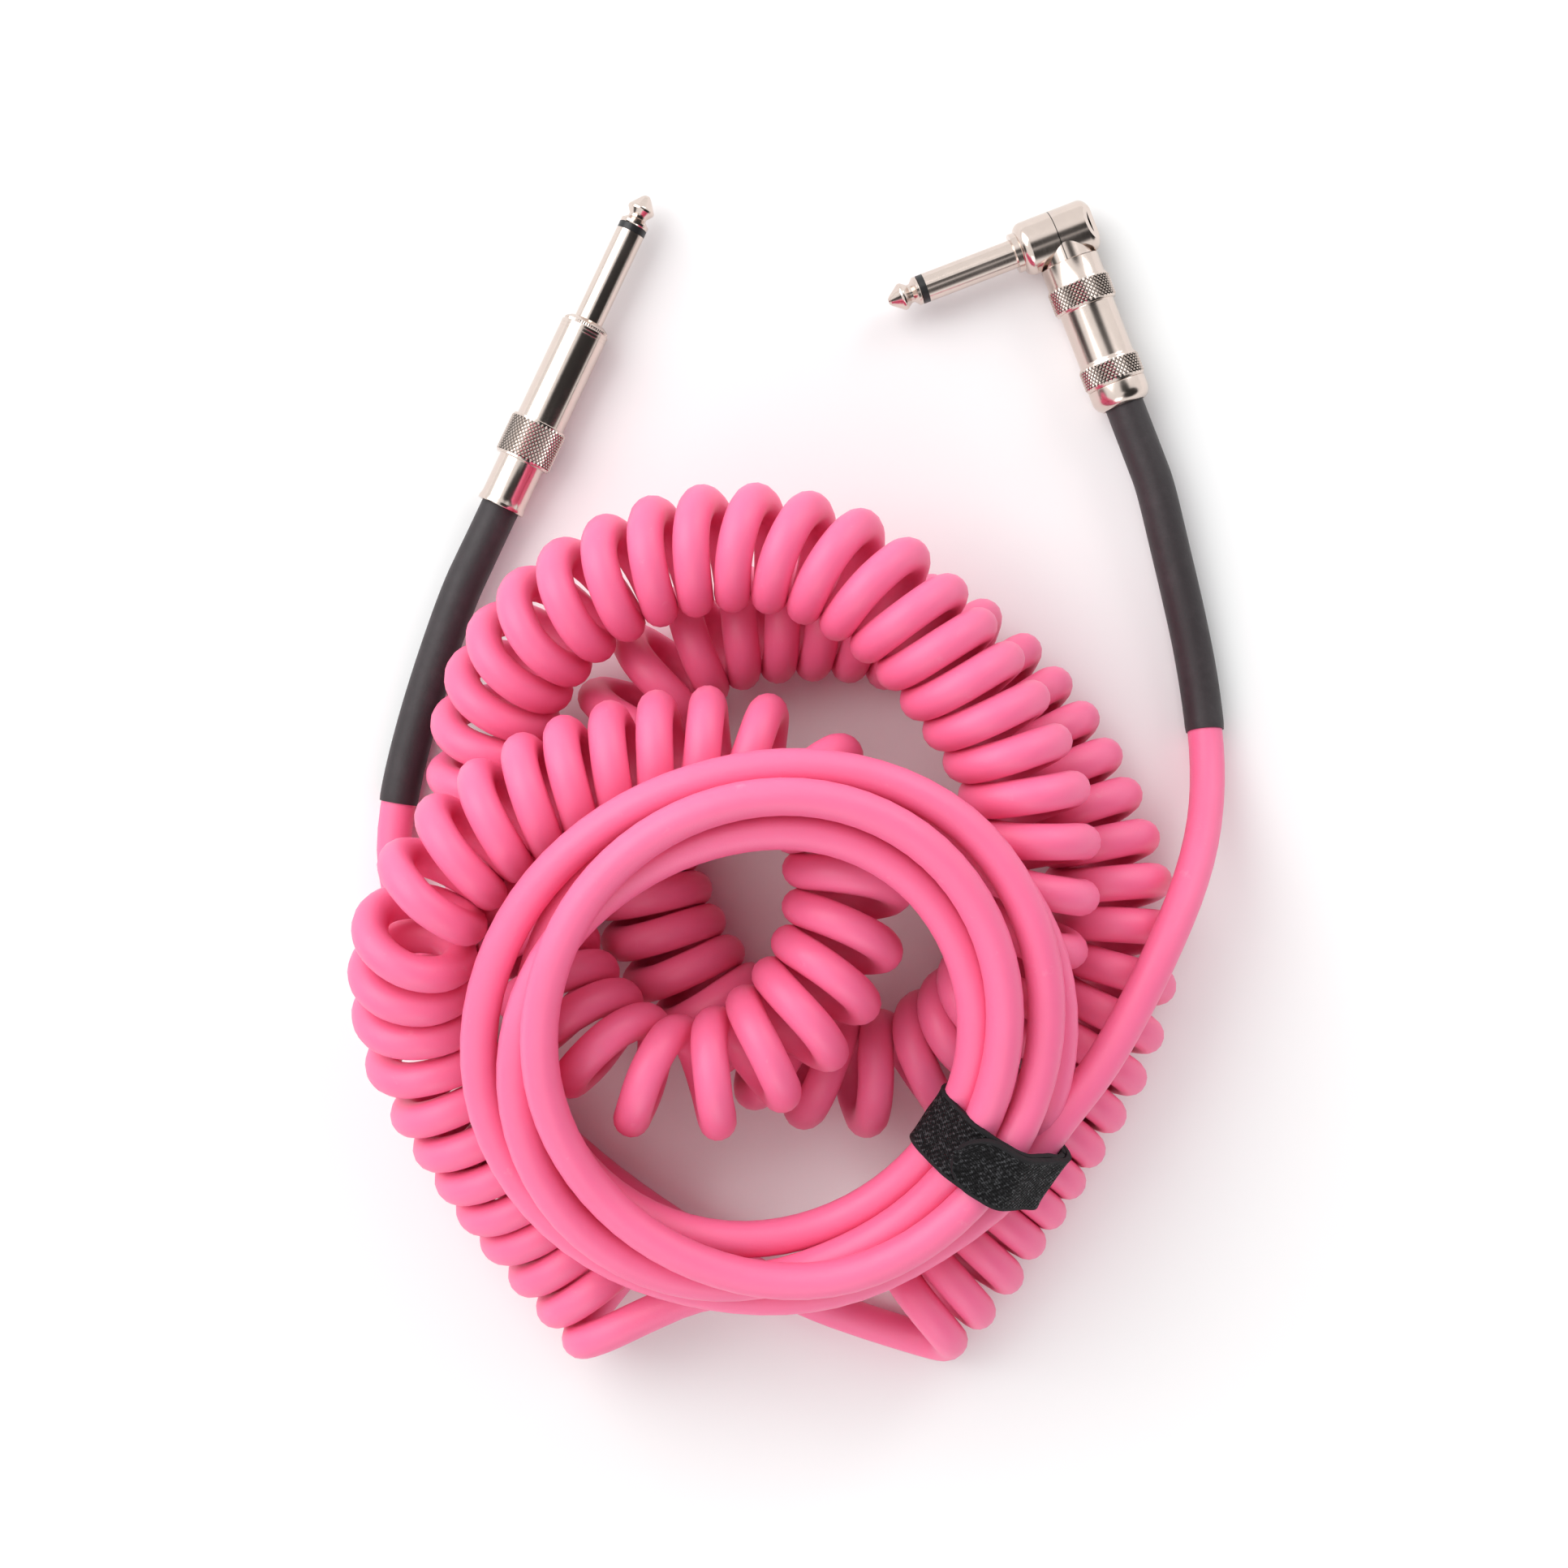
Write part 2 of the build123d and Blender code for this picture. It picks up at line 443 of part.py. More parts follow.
def checked_tube(name, path, radius):
    solid = swept(radius, path)
    print(f"{name} length {path.length:.1f} volume/section/length "
          f"{solid.volume / (math.pi * radius**2 * path.length):.4f}")
    save(name, solid)
    return solid


def sleeve_on(frame, start, straight_end, path, length):
    """Heat-shrink sleeve: straight from inside the plug, then along the lead's own path."""
    straight = frame * tube(SHRINK_R, CABLE_R + SEAT, -straight_end, -start)
    bent = path.trim(0, (length - straight_end + start) / path.length)
    return straight + swept(SHRINK_R, bent, CABLE_R + SEAT)


lead_a_path = tube_path("lead_a", lead_route(plug_a, A_STRAIGHT_END, LEAD_A))
lead_b_path = tube_path("lead_b", lead_route(barrel_b, B_STRAIGHT_END, LEAD_B))
checked_tube("lead_a", lead_a_path, CABLE_R)
checked_tube("lead_b", lead_b_path, CABLE_R)
save("heat_shrink_a", sleeve_on(plug_a, A_SLEEVE_START, A_STRAIGHT_END, lead_a_path, SLEEVE_A_LENGTH))
save("heat_shrink_b", sleeve_on(barrel_b, B_SLEEVE_START, B_STRAIGHT_END, lead_b_path, SLEEVE_B_LENGTH))
checked_tube("link_cord", tube_path("link_cord", LINK), CABLE_R)

curly_edges = tube_path("curly section", CURLY).edges()
for name, (first, last) in CURLY_SPANS.items():
    # each corner gives one arc and each run one line, so a span ends in the middle of a bend
    checked_tube(name, Wire(curly_edges[2 * first:2 * last]), CURLY_R)
ring_edges = tube_path("tied_ring", RING, closed=True).edges()
half = len(ring_edges) // 2
save("tied_ring", swept(RING_R, Wire(ring_edges[:half])) + swept(RING_R, Wire(ring_edges[half:])))


# ---------------------------------------------------------------- hook-and-loop tie
def tie_outline(gap):
    """The ring's section and the lead beside it, with a band pulled tight round both."""
    ring = Circle(RING_R + gap)
    lead = Pos(*TIED_LEAD) * Circle(CABLE_R + gap)
    return make_hull(ring.edges() + lead.edges())


def band(inner_gap, thickness):
    return extrude(tie_outline(inner_gap + thickness) - tie_outline(inner_gap), TIE_WIDTH / 2, both=True)


tied_bend = min(ring_edges, key=lambda edge: (edge @ 0.5 - Vector(RING[TIE_CORNER])).length)
along_ring = tied_bend % 0.5
tie_frame = Plane(tied_bend @ 0.5, x_dir=(-along_ring.Y, along_ring.X, 0), z_dir=along_ring).location
save("tie_band", tie_frame * band(TIE_GAP, TIE_THICKNESS))
hook_place = Pos(TIED_LEAD[0] - HOOK_LENGTH / 2 + CABLE_R, RING_R, 0)
hook_reach = hook_place * Box(HOOK_LENGTH, 2 * RING_R, TIE_WIDTH)
save("tie_hook_tab", tie_frame * (band(TIE_GAP + TIE_THICKNESS, HOOK_THICKNESS) & hook_reach))
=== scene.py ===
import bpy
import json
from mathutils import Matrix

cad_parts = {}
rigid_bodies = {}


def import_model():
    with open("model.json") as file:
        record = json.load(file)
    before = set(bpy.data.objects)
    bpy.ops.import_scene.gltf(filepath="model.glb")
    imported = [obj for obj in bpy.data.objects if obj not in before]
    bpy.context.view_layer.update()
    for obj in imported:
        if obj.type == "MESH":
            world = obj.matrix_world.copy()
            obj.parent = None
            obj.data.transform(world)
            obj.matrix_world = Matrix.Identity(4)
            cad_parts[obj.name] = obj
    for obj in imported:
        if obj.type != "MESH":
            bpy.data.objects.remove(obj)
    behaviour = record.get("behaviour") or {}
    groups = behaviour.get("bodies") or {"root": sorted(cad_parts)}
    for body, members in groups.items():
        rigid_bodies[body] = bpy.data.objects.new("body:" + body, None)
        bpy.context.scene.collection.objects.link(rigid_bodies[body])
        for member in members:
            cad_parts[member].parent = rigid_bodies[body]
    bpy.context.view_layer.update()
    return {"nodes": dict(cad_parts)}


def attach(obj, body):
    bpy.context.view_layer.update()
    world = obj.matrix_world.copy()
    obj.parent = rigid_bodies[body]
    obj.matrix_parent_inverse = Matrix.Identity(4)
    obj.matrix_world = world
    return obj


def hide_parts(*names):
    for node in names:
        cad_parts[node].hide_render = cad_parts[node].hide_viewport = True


bl_info = {
    "name": "Curly instrument cable",
    "version": (1, 0, 0),
    "blender": (4, 5, 0),
    "location": "View3D > Sidebar > Cable",
    "description": "Models and finishes a curly instrument cable with two quarter-inch plugs and a tie",
    "category": "Object",
}

import json
import math

import bpy
from bpy.props import FloatProperty, FloatVectorProperty, IntProperty, PointerProperty
from mathutils import Matrix, Vector, noise

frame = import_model()

# ---------------------------------------------------------------- places, in metres
MM = 0.001   # plug outlines are written in millimetres
# Straight plug: zero at the front of its flange. Right-angle plug: crossing of its two axes.
PLUG_A_AT = Vector((-0.0454, 0.0989, 0.00645))
PLUG_A_ANGLE = math.radians(64.65)
PLUG_B_AT = Vector((0.0582, 0.1175, 0.00715))
PLUG_B_ANGLE = math.radians(201.0)
TO_TIP_A = Vector((math.cos(PLUG_A_ANGLE), math.sin(PLUG_A_ANGLE), 0))
TO_TIP_B = Vector((math.cos(PLUG_B_ANGLE), math.sin(PLUG_B_ANGLE), 0))
TO_CORD_B = Vector((-TO_TIP_B.y, TO_TIP_B.x, 0))
COLLAR_B = 0.0108   # from the barrel's axis to the front of the shaft's toothed collar
COLLAR_FRONT = 0.0012   # of the collar, from its own zero
SEAM_HALF_WIDTH = 0.00009   # of the joint between the right-angle plug's two housings
KNURL_RIM = 0.0006   # plain rim at each end of a knurled band
TENT_OPENINGS = [(10, 72, 17), (-28, 38, 31), (201, 15, 14)]   # azimuth, elevation, half angle
OPENING_BLUR = 4   # degrees each side of an opening's edge
RIB_SPACING, PICK_SPACING = 0.00085, 0.0012   # of the tie's weave
BOUND_EDGE = 0.0007   # plain edge of the tie's strap
EDGE_CURL, TAIL_LIFT, LIFT_FROM = 0.0003, 0.0011, 0.72   # strap's edges, and its tail's end
STRAND_REACH = 0.024   # from the tie's middle to the farthest cable in it
# On each plug's axis: end of the jacket, a point inside the shell, where the cable may bend
JACKET_END_A, INSIDE_A, STRAIGHT_END_A = 0.021, 0.04, 0.0582
JACKET_END_B, INSIDE_B, STRAIGHT_END_B = 0.018, 0.036, 0.0527
FIRST_RUN = 0.006
# Heat-shrink sleeves: where each starts, its length, and how many points of the line it needs
SLEEVE_START_A, SLEEVE_LENGTH_A, SLEEVE_POINTS_A = 0.028, 0.087, 16
SLEEVE_START_B, SLEEVE_LENGTH_B, SLEEVE_POINTS_B = 0.025, 0.089, 18
SLEEVE_GAP, SLEEVE_LIP = 0.00002, 0.00012   # round the jacket, and off the radius of its ends
TIGHTEST_BEND = 45   # of the curly section's axis, per metre

# The cable's route in order. Lead of the straight plug, from its bend to the curly section
LEAD_A = [
    (-0.0756, 0.034, 0.0062), (-0.08, 0.0215, 0.0054), (-0.084, 0.0085, 0.0048),
    (-0.0875, -0.006, 0.0045), (-0.0889, -0.0197, 0.0042), (-0.0859, -0.0321, 0.0039),
    (-0.0803, -0.0451, 0.0039), (-0.0725, -0.0575, 0.0039), (-0.0629, -0.0695, 0.0039),
    (-0.0517, -0.0815, 0.0039), (-0.0387, -0.0923, 0.0039), (-0.0245, -0.1019, 0.0039),
    (-0.0099, -0.1107, 0.0039), (0.0037, -0.1173, 0.00395), (0.0145, -0.1212, 0.0039),
    (0.0274, -0.1252, 0.0041), (0.0328, -0.1259, 0.008),
]
# Axis of the curly section
CURLY = [
    (0.0265, -0.1169, 0.0137), (0.0355, -0.1079, 0.01375), (0.0427, -0.0969, 0.0137),
    (0.0505, -0.0849, 0.01375), (0.0593, -0.0714, 0.0137), (0.0665, -0.0569, 0.01375),
    (0.0705, -0.0419, 0.0137), (0.069, -0.0269, 0.01375), (0.0645, -0.0119, 0.0137),
    (0.0565, 0.0031, 0.01375), (0.0465, 0.0161, 0.0137), (0.0355, 0.0261, 0.01375),
    (0.0225, 0.0313, 0.0137), (0.0075, 0.0335, 0.01375), (-0.0085, 0.0327, 0.0137),
    (-0.0225, 0.0279, 0.01375), (-0.0325, 0.0175, 0.0137), (-0.0375, 0.0031, 0.01375),
    (-0.0359, -0.0139, 0.0137), (-0.0311, -0.0299, 0.01375), (-0.0239, -0.0445, 0.0137),
    (-0.0131, -0.0569, 0.01375), (0.0015, -0.0645, 0.0137), (0.0165, -0.0669, 0.0138),
    (0.0295, -0.0619, 0.015), (0.0395, -0.0529, 0.023), (0.0465, -0.0419, 0.0315),
    (0.0505, -0.0279, 0.036), (0.0505, -0.0139, 0.038), (0.0465, 0.0001, 0.0394),
    (0.0395, 0.0127, 0.041), (0.0305, 0.0241, 0.0422), (0.0205, 0.0351, 0.0422),
    (0.0079, 0.0431, 0.0406), (-0.0075, 0.0471, 0.0384), (-0.0225, 0.0461, 0.0366),
    (-0.0365, 0.0415, 0.035), (-0.0491, 0.0341, 0.0314), (-0.0585, 0.0247, 0.0256),
    (-0.0645, 0.0131, 0.019), (-0.0665, 0.0001, 0.0144), (-0.0655, -0.0139, 0.0139),
    (-0.0603, -0.0279, 0.0204), (-0.0541, -0.0405, 0.0278), (-0.0457, -0.0529, 0.0306),
    (-0.0365, -0.0619, 0.035), (-0.0255, -0.0653, 0.0392), (-0.0135, -0.0627, 0.0416),
    (-0.0025, -0.0553, 0.0418), (0.0055, -0.0449, 0.041), (0.0105, -0.0329, 0.0396),
    (0.0115, -0.0205, 0.0384), (0.0085, -0.0089, 0.038), (0.0005, 0.0001, 0.0382),
    (-0.0109, 0.0039, 0.0392), (-0.0235, 0.0039, 0.0412), (-0.0365, 0.0015, 0.0421),
    (-0.0485, -0.0029, 0.0424), (-0.0605, -0.0089, 0.0425), (-0.0709, -0.0179, 0.0424),
    (-0.0787, -0.0309, 0.0414), (-0.0815, -0.0459, 0.031), (-0.0789, -0.0609, 0.0234),
    (-0.0715, -0.0739, 0.0219), (-0.0637, -0.0859, 0.019), (-0.0563, -0.0969, 0.0152),
    (-0.0485, -0.1069, 0.0138), (-0.0395, -0.1159, 0.01375),
]
# Link from the curly section up into the tied ring
LINK = [
    (-0.0464, -0.1233, 0.019), (-0.0415, -0.1213, 0.0233), (-0.0315, -0.1164, 0.0236),
    (-0.0203, -0.1114, 0.0242), (-0.0048, -0.1099, 0.0262),
]
# Free lead of the right-angle plug, from the tie to its bend
LEAD_B = [
    (0.0446, -0.0878, 0.0414), (0.0534, -0.0741, 0.0424), (0.0633, -0.0631, 0.0386),
    (0.0711, -0.0507, 0.0346), (0.0777, -0.0379, 0.0322), (0.0841, -0.0251, 0.026),
    (0.0887, -0.0131, 0.0162), (0.0908, -0.0009, 0.008), (0.0903, 0.0117, 0.0048),
    (0.0883, 0.0247, 0.0049), (0.0855, 0.0373, 0.0056), (0.0823, 0.0501, 0.0065),
]
# The tied ring: each turn's distance from the middle and height at every thirtieth degree,
# counterclockwise from 15 degrees short of straight down
RING_MIDDLE = (-0.0048, -0.0524)
RING_FROM = math.radians(255)
RING_TURNS = [
    [(0.0654, 0.0311), (0.0554, 0.0296), (0.0576, 0.0344), (0.0595, 0.0438), (0.0587, 0.0497),
     (0.0556, 0.0533), (0.0522, 0.0553), (0.0487, 0.056), (0.0483, 0.0552), (0.0493, 0.0498),
     (0.0506, 0.0441), (0.0502, 0.0365)],
    [(0.0469, 0.0385), (0.0441, 0.0365), (0.0422, 0.0407), (0.0417, 0.0503), (0.0414, 0.0564),
     (0.0414, 0.0598), (0.0406, 0.062), (0.0399, 0.0627), (0.0421, 0.0607), (0.048, 0.0575),
     (0.0543, 0.0525), (0.0581, 0.046)],
    [(0.0563, 0.0405), (0.0507, 0.0408), (0.0482, 0.0457), (0.0467, 0.0561), (0.0475, 0.0623),
     (0.0484, 0.0658), (0.0477, 0.068), (0.0463, 0.069), (0.0457, 0.0677), (0.046, 0.0648),
     (0.0477, 0.0583), (0.0494, 0.0508)],
    [(0.0515, 0.0471), (0.0539, 0.0477), (0.0541, 0.0506), (0.0552, 0.0509), (0.0565, 0.0573),
     (0.057, 0.0604), (0.0541, 0.0626), (0.052, 0.0631), (0.0537, 0.0611), (0.0578, 0.0541),
     (0.0617, 0.0469), (0.0617, 0.0383)],
    [(0.0591, 0.0328), (0.0579, 0.037), (0.057, 0.042)],
]

TIE_AT = Vector((0.0376, -0.0772, 0.0466))
TIE_ALONG = Vector((-0.505, -0.817, -0.279)).normalized()


# ---------------------------------------------------------------- shader maths
class Field:
    """A value that varies over a surface: a node's socket, with Python's arithmetic."""

    def __init__(self, tree, socket):
        self.tree, self.socket = tree, socket

    def _math(self, operation, *values):
        node = self.tree.nodes.new("ShaderNodeMath")
        node.operation = operation
        for slot, value in zip(node.inputs, values):
            if isinstance(value, Field):
                self.tree.links.new(value.socket, slot)
            else:
                slot.default_value = value
        return Field(self.tree, node.outputs[0])

    def __add__(self, other):
        return self._math("ADD", self, other)

    __radd__ = __add__

    def __mul__(self, other):
        return self._math("MULTIPLY", self, other)

    __rmul__ = __mul__

    def __sub__(self, other):
        return self._math("SUBTRACT", self, other)

    def __rsub__(self, other):
        return self._math("SUBTRACT", other, self)

    def __pow__(self, other):
        return self._math("POWER", self, other)

    def above(self, level):
        return self._math("GREATER_THAN", self, level)

    def between(self, low, high):
        return self._math("MINIMUM", self._math("MAXIMUM", self, low), high)

    def wave(self):
        return self._math("SINE", self)


class Finish:
    """One procedural material, built on the surface's own coordinates."""

    def __init__(self, name, **constants):
        self.material = bpy.data.materials.new(name)
        self.material.use_nodes = True
        self.tree = self.material.node_tree
        self.shader = self.tree.nodes["Principled BSDF"]
        for label, value in constants.items():
            self.shader.inputs[label.replace("_", " ")].default_value = value

    def node(self, kind, settings=None, values=None, output=0):
        """A node of that type: its settings first, then the values or links of its sockets."""
        node = self.tree.nodes.new(kind)
        for label, value in (settings or {}).items():
            if label == "stops":
                ramp = node.color_ramp
                while len(ramp.elements) < len(value):
                    ramp.elements.new(0.5)
                for element, (place, colour) in zip(ramp.elements, value):
                    element.position, element.color = place, (*colour[:3], 1)
            else:
                setattr(node, label, value)
        for label, value in (values or {}).items():
            if isinstance(value, Field):
                self.tree.links.new(value.socket, node.inputs[label])
            else:
                node.inputs[label].default_value = value
        return Field(self.tree, node.outputs[output])

    def place(self, middle=(0, 0, 0), turn=0.0):
        """Object coordinates, centred on a point and turned about the vertical."""
        coordinates = self.node("ShaderNodeTexCoord", output="Object")
        return self.node("ShaderNodeMapping", {"vector_type": "TEXTURE"},
                         {"Vector": coordinates, "Location": middle, "Rotation": (0, 0, turn)})

    def noise(self, where, scale, detail, roughness=0.5):
        return self.node("ShaderNodeTexNoise", None,
                         {"Vector": where, "Scale": scale, "Detail": detail, "Roughness": roughness})

    def mix(self, factor, first, second):
        """Blend two colours by a factor."""
        return self.node("ShaderNodeMix", {"data_type": "RGBA"},
                         {0: factor, 6: first, 7: second}, output=2)

    def parts(self, vector):
        """The three numbers of a vector."""
        node = self.tree.nodes.new("ShaderNodeSeparateXYZ")
        self.tree.links.new(vector.socket, node.inputs[0])
        return [Field(self.tree, socket) for socket in node.outputs]

    def bump(self, height, distance, strength):
        normal = self.node("ShaderNodeBump", None,
                           {"Height": height, "Distance": distance, "Strength": strength})
        self.feed("Normal", normal)

    def patches(self, field, low, high):
        """A mask that rises from none to full between two levels of a field."""
        return self.node("ShaderNodeValToRGB", {"stops": [(low, (0, 0, 0)), (high, (1, 1, 1))]},
                         {"Fac": field})

    def feed(self, label, field):
        self.tree.links.new(field.socket, self.shader.inputs[label])


def colour(value):
    """A colour with the fourth number that a socket wants."""
    return (*value[:3], 1.0)


# ---------------------------------------------------------------- shared modelling steps
def deselect():
    if bpy.context.object and bpy.context.object.mode != "OBJECT":
        bpy.ops.object.mode_set(mode="OBJECT")
    bpy.ops.object.select_all(action="DESELECT")


def only(piece):
    deselect()
    piece.select_set(True)
    bpy.context.view_layer.objects.active = piece


def turn_faces_outwards():
    """Set every face of the mesh in edit mode to point outwards, and leave edit mode."""
    bpy.ops.mesh.select_all(action="SELECT")
    bpy.ops.mesh.normals_make_consistent(inside=False)
    bpy.ops.object.mode_set(mode="OBJECT")


def turned_piece(name, outline, sides):
    """Turn a profile about Z: a ring of edges is extruded and resized from corner to corner."""
    deselect()
    start_r, start_z = outline[0]
    bpy.ops.mesh.primitive_circle_add(vertices=sides, radius=start_r, location=(0, 0, start_z),
                                      fill_type="NOTHING")
    piece = bpy.context.object
    piece.name = piece.data.name = name
    bpy.ops.object.transform_apply(location=True, rotation=False, scale=False)
    bpy.ops.object.mode_set(mode="EDIT")
    bpy.ops.mesh.select_all(action="SELECT")
    for (radius, height), (next_radius, next_height) in zip(outline, outline[1:]):
        rise = next_height - height
        bpy.ops.mesh.extrude_region_move(TRANSFORM_OT_translate={"value": (0, 0, rise)})
        factor = next_radius / radius
        bpy.ops.transform.resize(value=(factor, factor, 1), center_override=(0, 0, next_height))
    bpy.ops.mesh.select_all(action="SELECT")
    bpy.ops.mesh.remove_doubles(threshold=1e-6)
    turn_faces_outwards()
    return piece


def raise_vertices(piece, wanted, factor):
    """Select vertices by their place and push them out from the axis."""
    only(piece)
    for part in (piece.data.polygons, piece.data.edges, piece.data.vertices):
        part.foreach_set("select", [False] * len(part))
    for vertex in piece.data.vertices:
        vertex.select = wanted(vertex.co)
    bpy.ops.object.mode_set(mode="EDIT")
    bpy.ops.mesh.select_mode(type="VERT")
    bpy.ops.transform.resize(value=(factor, factor, 1), center_override=(0, 0, 0))
    bpy.ops.object.mode_set(mode="OBJECT")


def every_other_tooth(sides, reach, above=-math.inf):
    """The vertices to raise on a toothed rim: beyond a distance from the axis, above a height."""

    def is_tooth(place):
        around = round(math.atan2(place.y, place.x) / (2 * math.pi / sides))
        return math.hypot(place.x, place.y) > reach and place.z > above and around % 2 == 0

    return is_tooth


def ring_steps(radius, start, end, count):
    """Evenly spaced rings for a knurled band."""
    return [(radius, start + (end - start) * step / count) for step in range(count + 1)]


def knurl(piece, sides, radius, start, end, count, factor):
    """Push every other vertex of a band's rings out and crease between, so diamonds stand on it."""
    low, high = min(start, end), max(start, end)
    pitch = (high - low) / count

    def on_a_point(place):
        from_band = abs(math.hypot(place.x, place.y) - radius)
        if from_band > 2e-5 or not low - 1e-6 < place.z < high + 1e-6:
            return False
        row = round((place.z - low) / pitch)
        column = round(math.atan2(place.y, place.x) / (2 * math.pi / sides))
        return 0 < row < count and (row + column) % 2 == 0

    raise_vertices(piece, on_a_point, factor)
    bpy.ops.object.mode_set(mode="EDIT")
    bpy.ops.mesh.select_more()
    bpy.ops.mesh.quads_convert_to_tris(quad_method="SHORTEST_DIAGONAL", ngon_method="BEAUTY")
    bpy.ops.object.mode_set(mode="OBJECT")


def put(piece, matrix):
    """Put a piece modelled about Z in its place, with the place in its mesh."""
    only(piece)
    piece.matrix_world = matrix
    bpy.ops.object.transform_apply(location=True, rotation=True, scale=True)


def frame_along(origin, axis):
    """A frame whose Z is the axis and whose X is straight up."""
    z = axis.normalized()
    x = Vector((0, 0, 1))
    y = z.cross(x)
    turn = Matrix((x, y, z)).transposed().to_4x4()
    return Matrix.Translation(origin) @ turn


def smooth(piece, degrees):
    only(piece)
    bpy.ops.object.shade_smooth_by_angle(angle=math.radians(degrees))


def finish_with(piece, finish, slot, body, *nodes):
    piece.data.materials.clear()
    piece.data.materials.append(finish.material)
    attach(piece, body)
    if nodes:
        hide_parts(*nodes)


def coat_node(name, finish):
    """Give a carried-over piece its material."""
    materials = bpy.data.objects[name].data.materials
    materials.clear()
    materials.append(finish.material)


def smooth_line(name, points, resolution, depth=0.0):
    """One open NURBS spline of order 3, from its first control point to its last."""
    data = bpy.data.curves.new(name, "CURVE")
    data.dimensions = "3D"
    data.resolution_u = resolution
    spline = data.splines.new("NURBS")
    spline.points.add(len(points) - 1)
    for control, place in zip(spline.points, points):
        control.co = (*place, 1)
    spline.order_u = 3
    spline.use_endpoint_u = True
    data.bevel_depth = depth
    data.bevel_resolution = 6
    data.use_fill_caps = depth > 0
    line = bpy.data.objects.new(name, data)
    bpy.context.collection.objects.link(line)
    return line


def read_line(points, resolution):
    """Points along the smooth line that a route's control points give."""
    line = smooth_line("route_reading", points, resolution)
    mesh = bpy.data.meshes.new_from_object(line)
    path = [vertex.co.copy() for vertex in mesh.vertices]
    data = line.data
    bpy.data.objects.remove(line)
    bpy.data.curves.remove(data)
    bpy.data.meshes.remove(mesh)
    return path


def distances(path):
    """How far along a path each of its points is."""
    run = [0.0]
    for before, after in zip(path, path[1:]):
        run.append(run[-1] + (after - before).length)
    return run


# ---------------------------------------------------------------- the cable's line
def on_a(distance):
    """Point on the straight plug's axis, that far behind its flange."""
    return PLUG_A_AT - TO_TIP_A * distance


def on_b(distance):
    """Point on the right-angle plug's barrel axis, that far from the shaft axis."""
    return PLUG_B_AT + TO_CORD_B * distance


def coil_points(axis_points, coil_radius, spacing, per_turn):
    """Left-handed close-wound turns about the curly section's axis, from side to side of it.

    Neighbouring turns touch on the inside of each bend, so they fan out on its outside.
    """
    path = read_line(axis_points, resolution=8)
    run = distances(path)
    span = 4   # points each way that a bend is measured over
    phase = [0.0]
    for i in range(len(path) - 1):
        low, high = max(0, i - span), min(len(path) - 1, i + 1 + span)
        middle = (low + high) // 2
        first, second = path[middle] - path[low], path[high] - path[middle]
        bend = first.angle(second) / ((run[high] - run[low]) / 2)
        step = run[i + 1] - run[i]
        tightening = 1 - coil_radius * min(bend, TIGHTEST_BEND)
        phase.append(phase[-1] + 2 * math.pi * tightening * step / spacing)
    turns = round(phase[-1] / (2 * math.pi))
    stretch = turns * 2 * math.pi / phase[-1]
    outward = coil_radius / math.cos(math.pi / per_turn)
    points, i = [], 0
    for k in range(turns * per_turn + 1):
        angle = 2 * math.pi * k / per_turn
        while i < len(path) - 2 and phase[i + 1] * stretch < angle:
            i += 1
        share = (angle / stretch - phase[i]) / (phase[i + 1] - phase[i])
        place = path[i].lerp(path[i + 1], min(share, 1))
        low, high = max(0, i - 2), min(len(path) - 1, i + 3)
        along = (path[high] - path[low]).normalized()
        side = Vector((along.y, -along.x, 0)).normalized()
        up = side.cross(along)
        loose = 1 + 0.012 * math.sin(k / per_turn * 1.7) + 0.008 * math.sin(k / per_turn * 0.61 + 1)
        points.append(place + (side * math.cos(angle) + up * math.sin(angle)) * outward * loose)
    return points


def ring_points():
    """The gathered turns: listed distances and heights, and a smoothed one halfway between."""
    stations = []
    for turn, row in enumerate(RING_TURNS):
        for place, (radius, height) in enumerate(row):
            stations.append((RING_FROM + math.radians(360 * turn + 30 * place), radius, height))
    stations = stations[1:]   # the link takes the place of the first
    points = []
    for i in range(len(stations) - 1):
        near = [stations[max(0, min(len(stations) - 1, i + j))] for j in (-1, 0, 1, 2)]
        for t in (0.0, 0.5):
            values = [0.5 * (2 * b + (c - a) * t + (2 * a - 5 * b + 4 * c - d) * t * t
                             + (3 * b - a - 3 * c + d) * t ** 3) for a, b, c, d in zip(*near)]
            angle, radius, height = values
            radius /= math.cos(math.radians(30 / 4))   # so that the spline's arcs reach it
            points.append(Vector((RING_MIDDLE[0] + radius * math.cos(angle),
                                  RING_MIDDLE[1] + radius * math.sin(angle), height)))
    return points


def cable_line(cable):
    """Control points of the whole cable, from the straight plug to the right-angle one."""
    points = [on_a(far) for far in (JACKET_END_A, INSIDE_A, STRAIGHT_END_A, STRAIGHT_END_A + FIRST_RUN)]
    points += [Vector(p) for p in LEAD_A]
    points += coil_points(CURLY, cable.coil_radius, cable.turn_spacing, cable.points_per_turn)
    points += [Vector(p) for p in LINK]
    points += ring_points()
    points += [Vector(p) for p in LEAD_B]
    points += [on_b(far) for far in (STRAIGHT_END_B + FIRST_RUN, STRAIGHT_END_B, INSIDE_B, JACKET_END_B)]
    return points


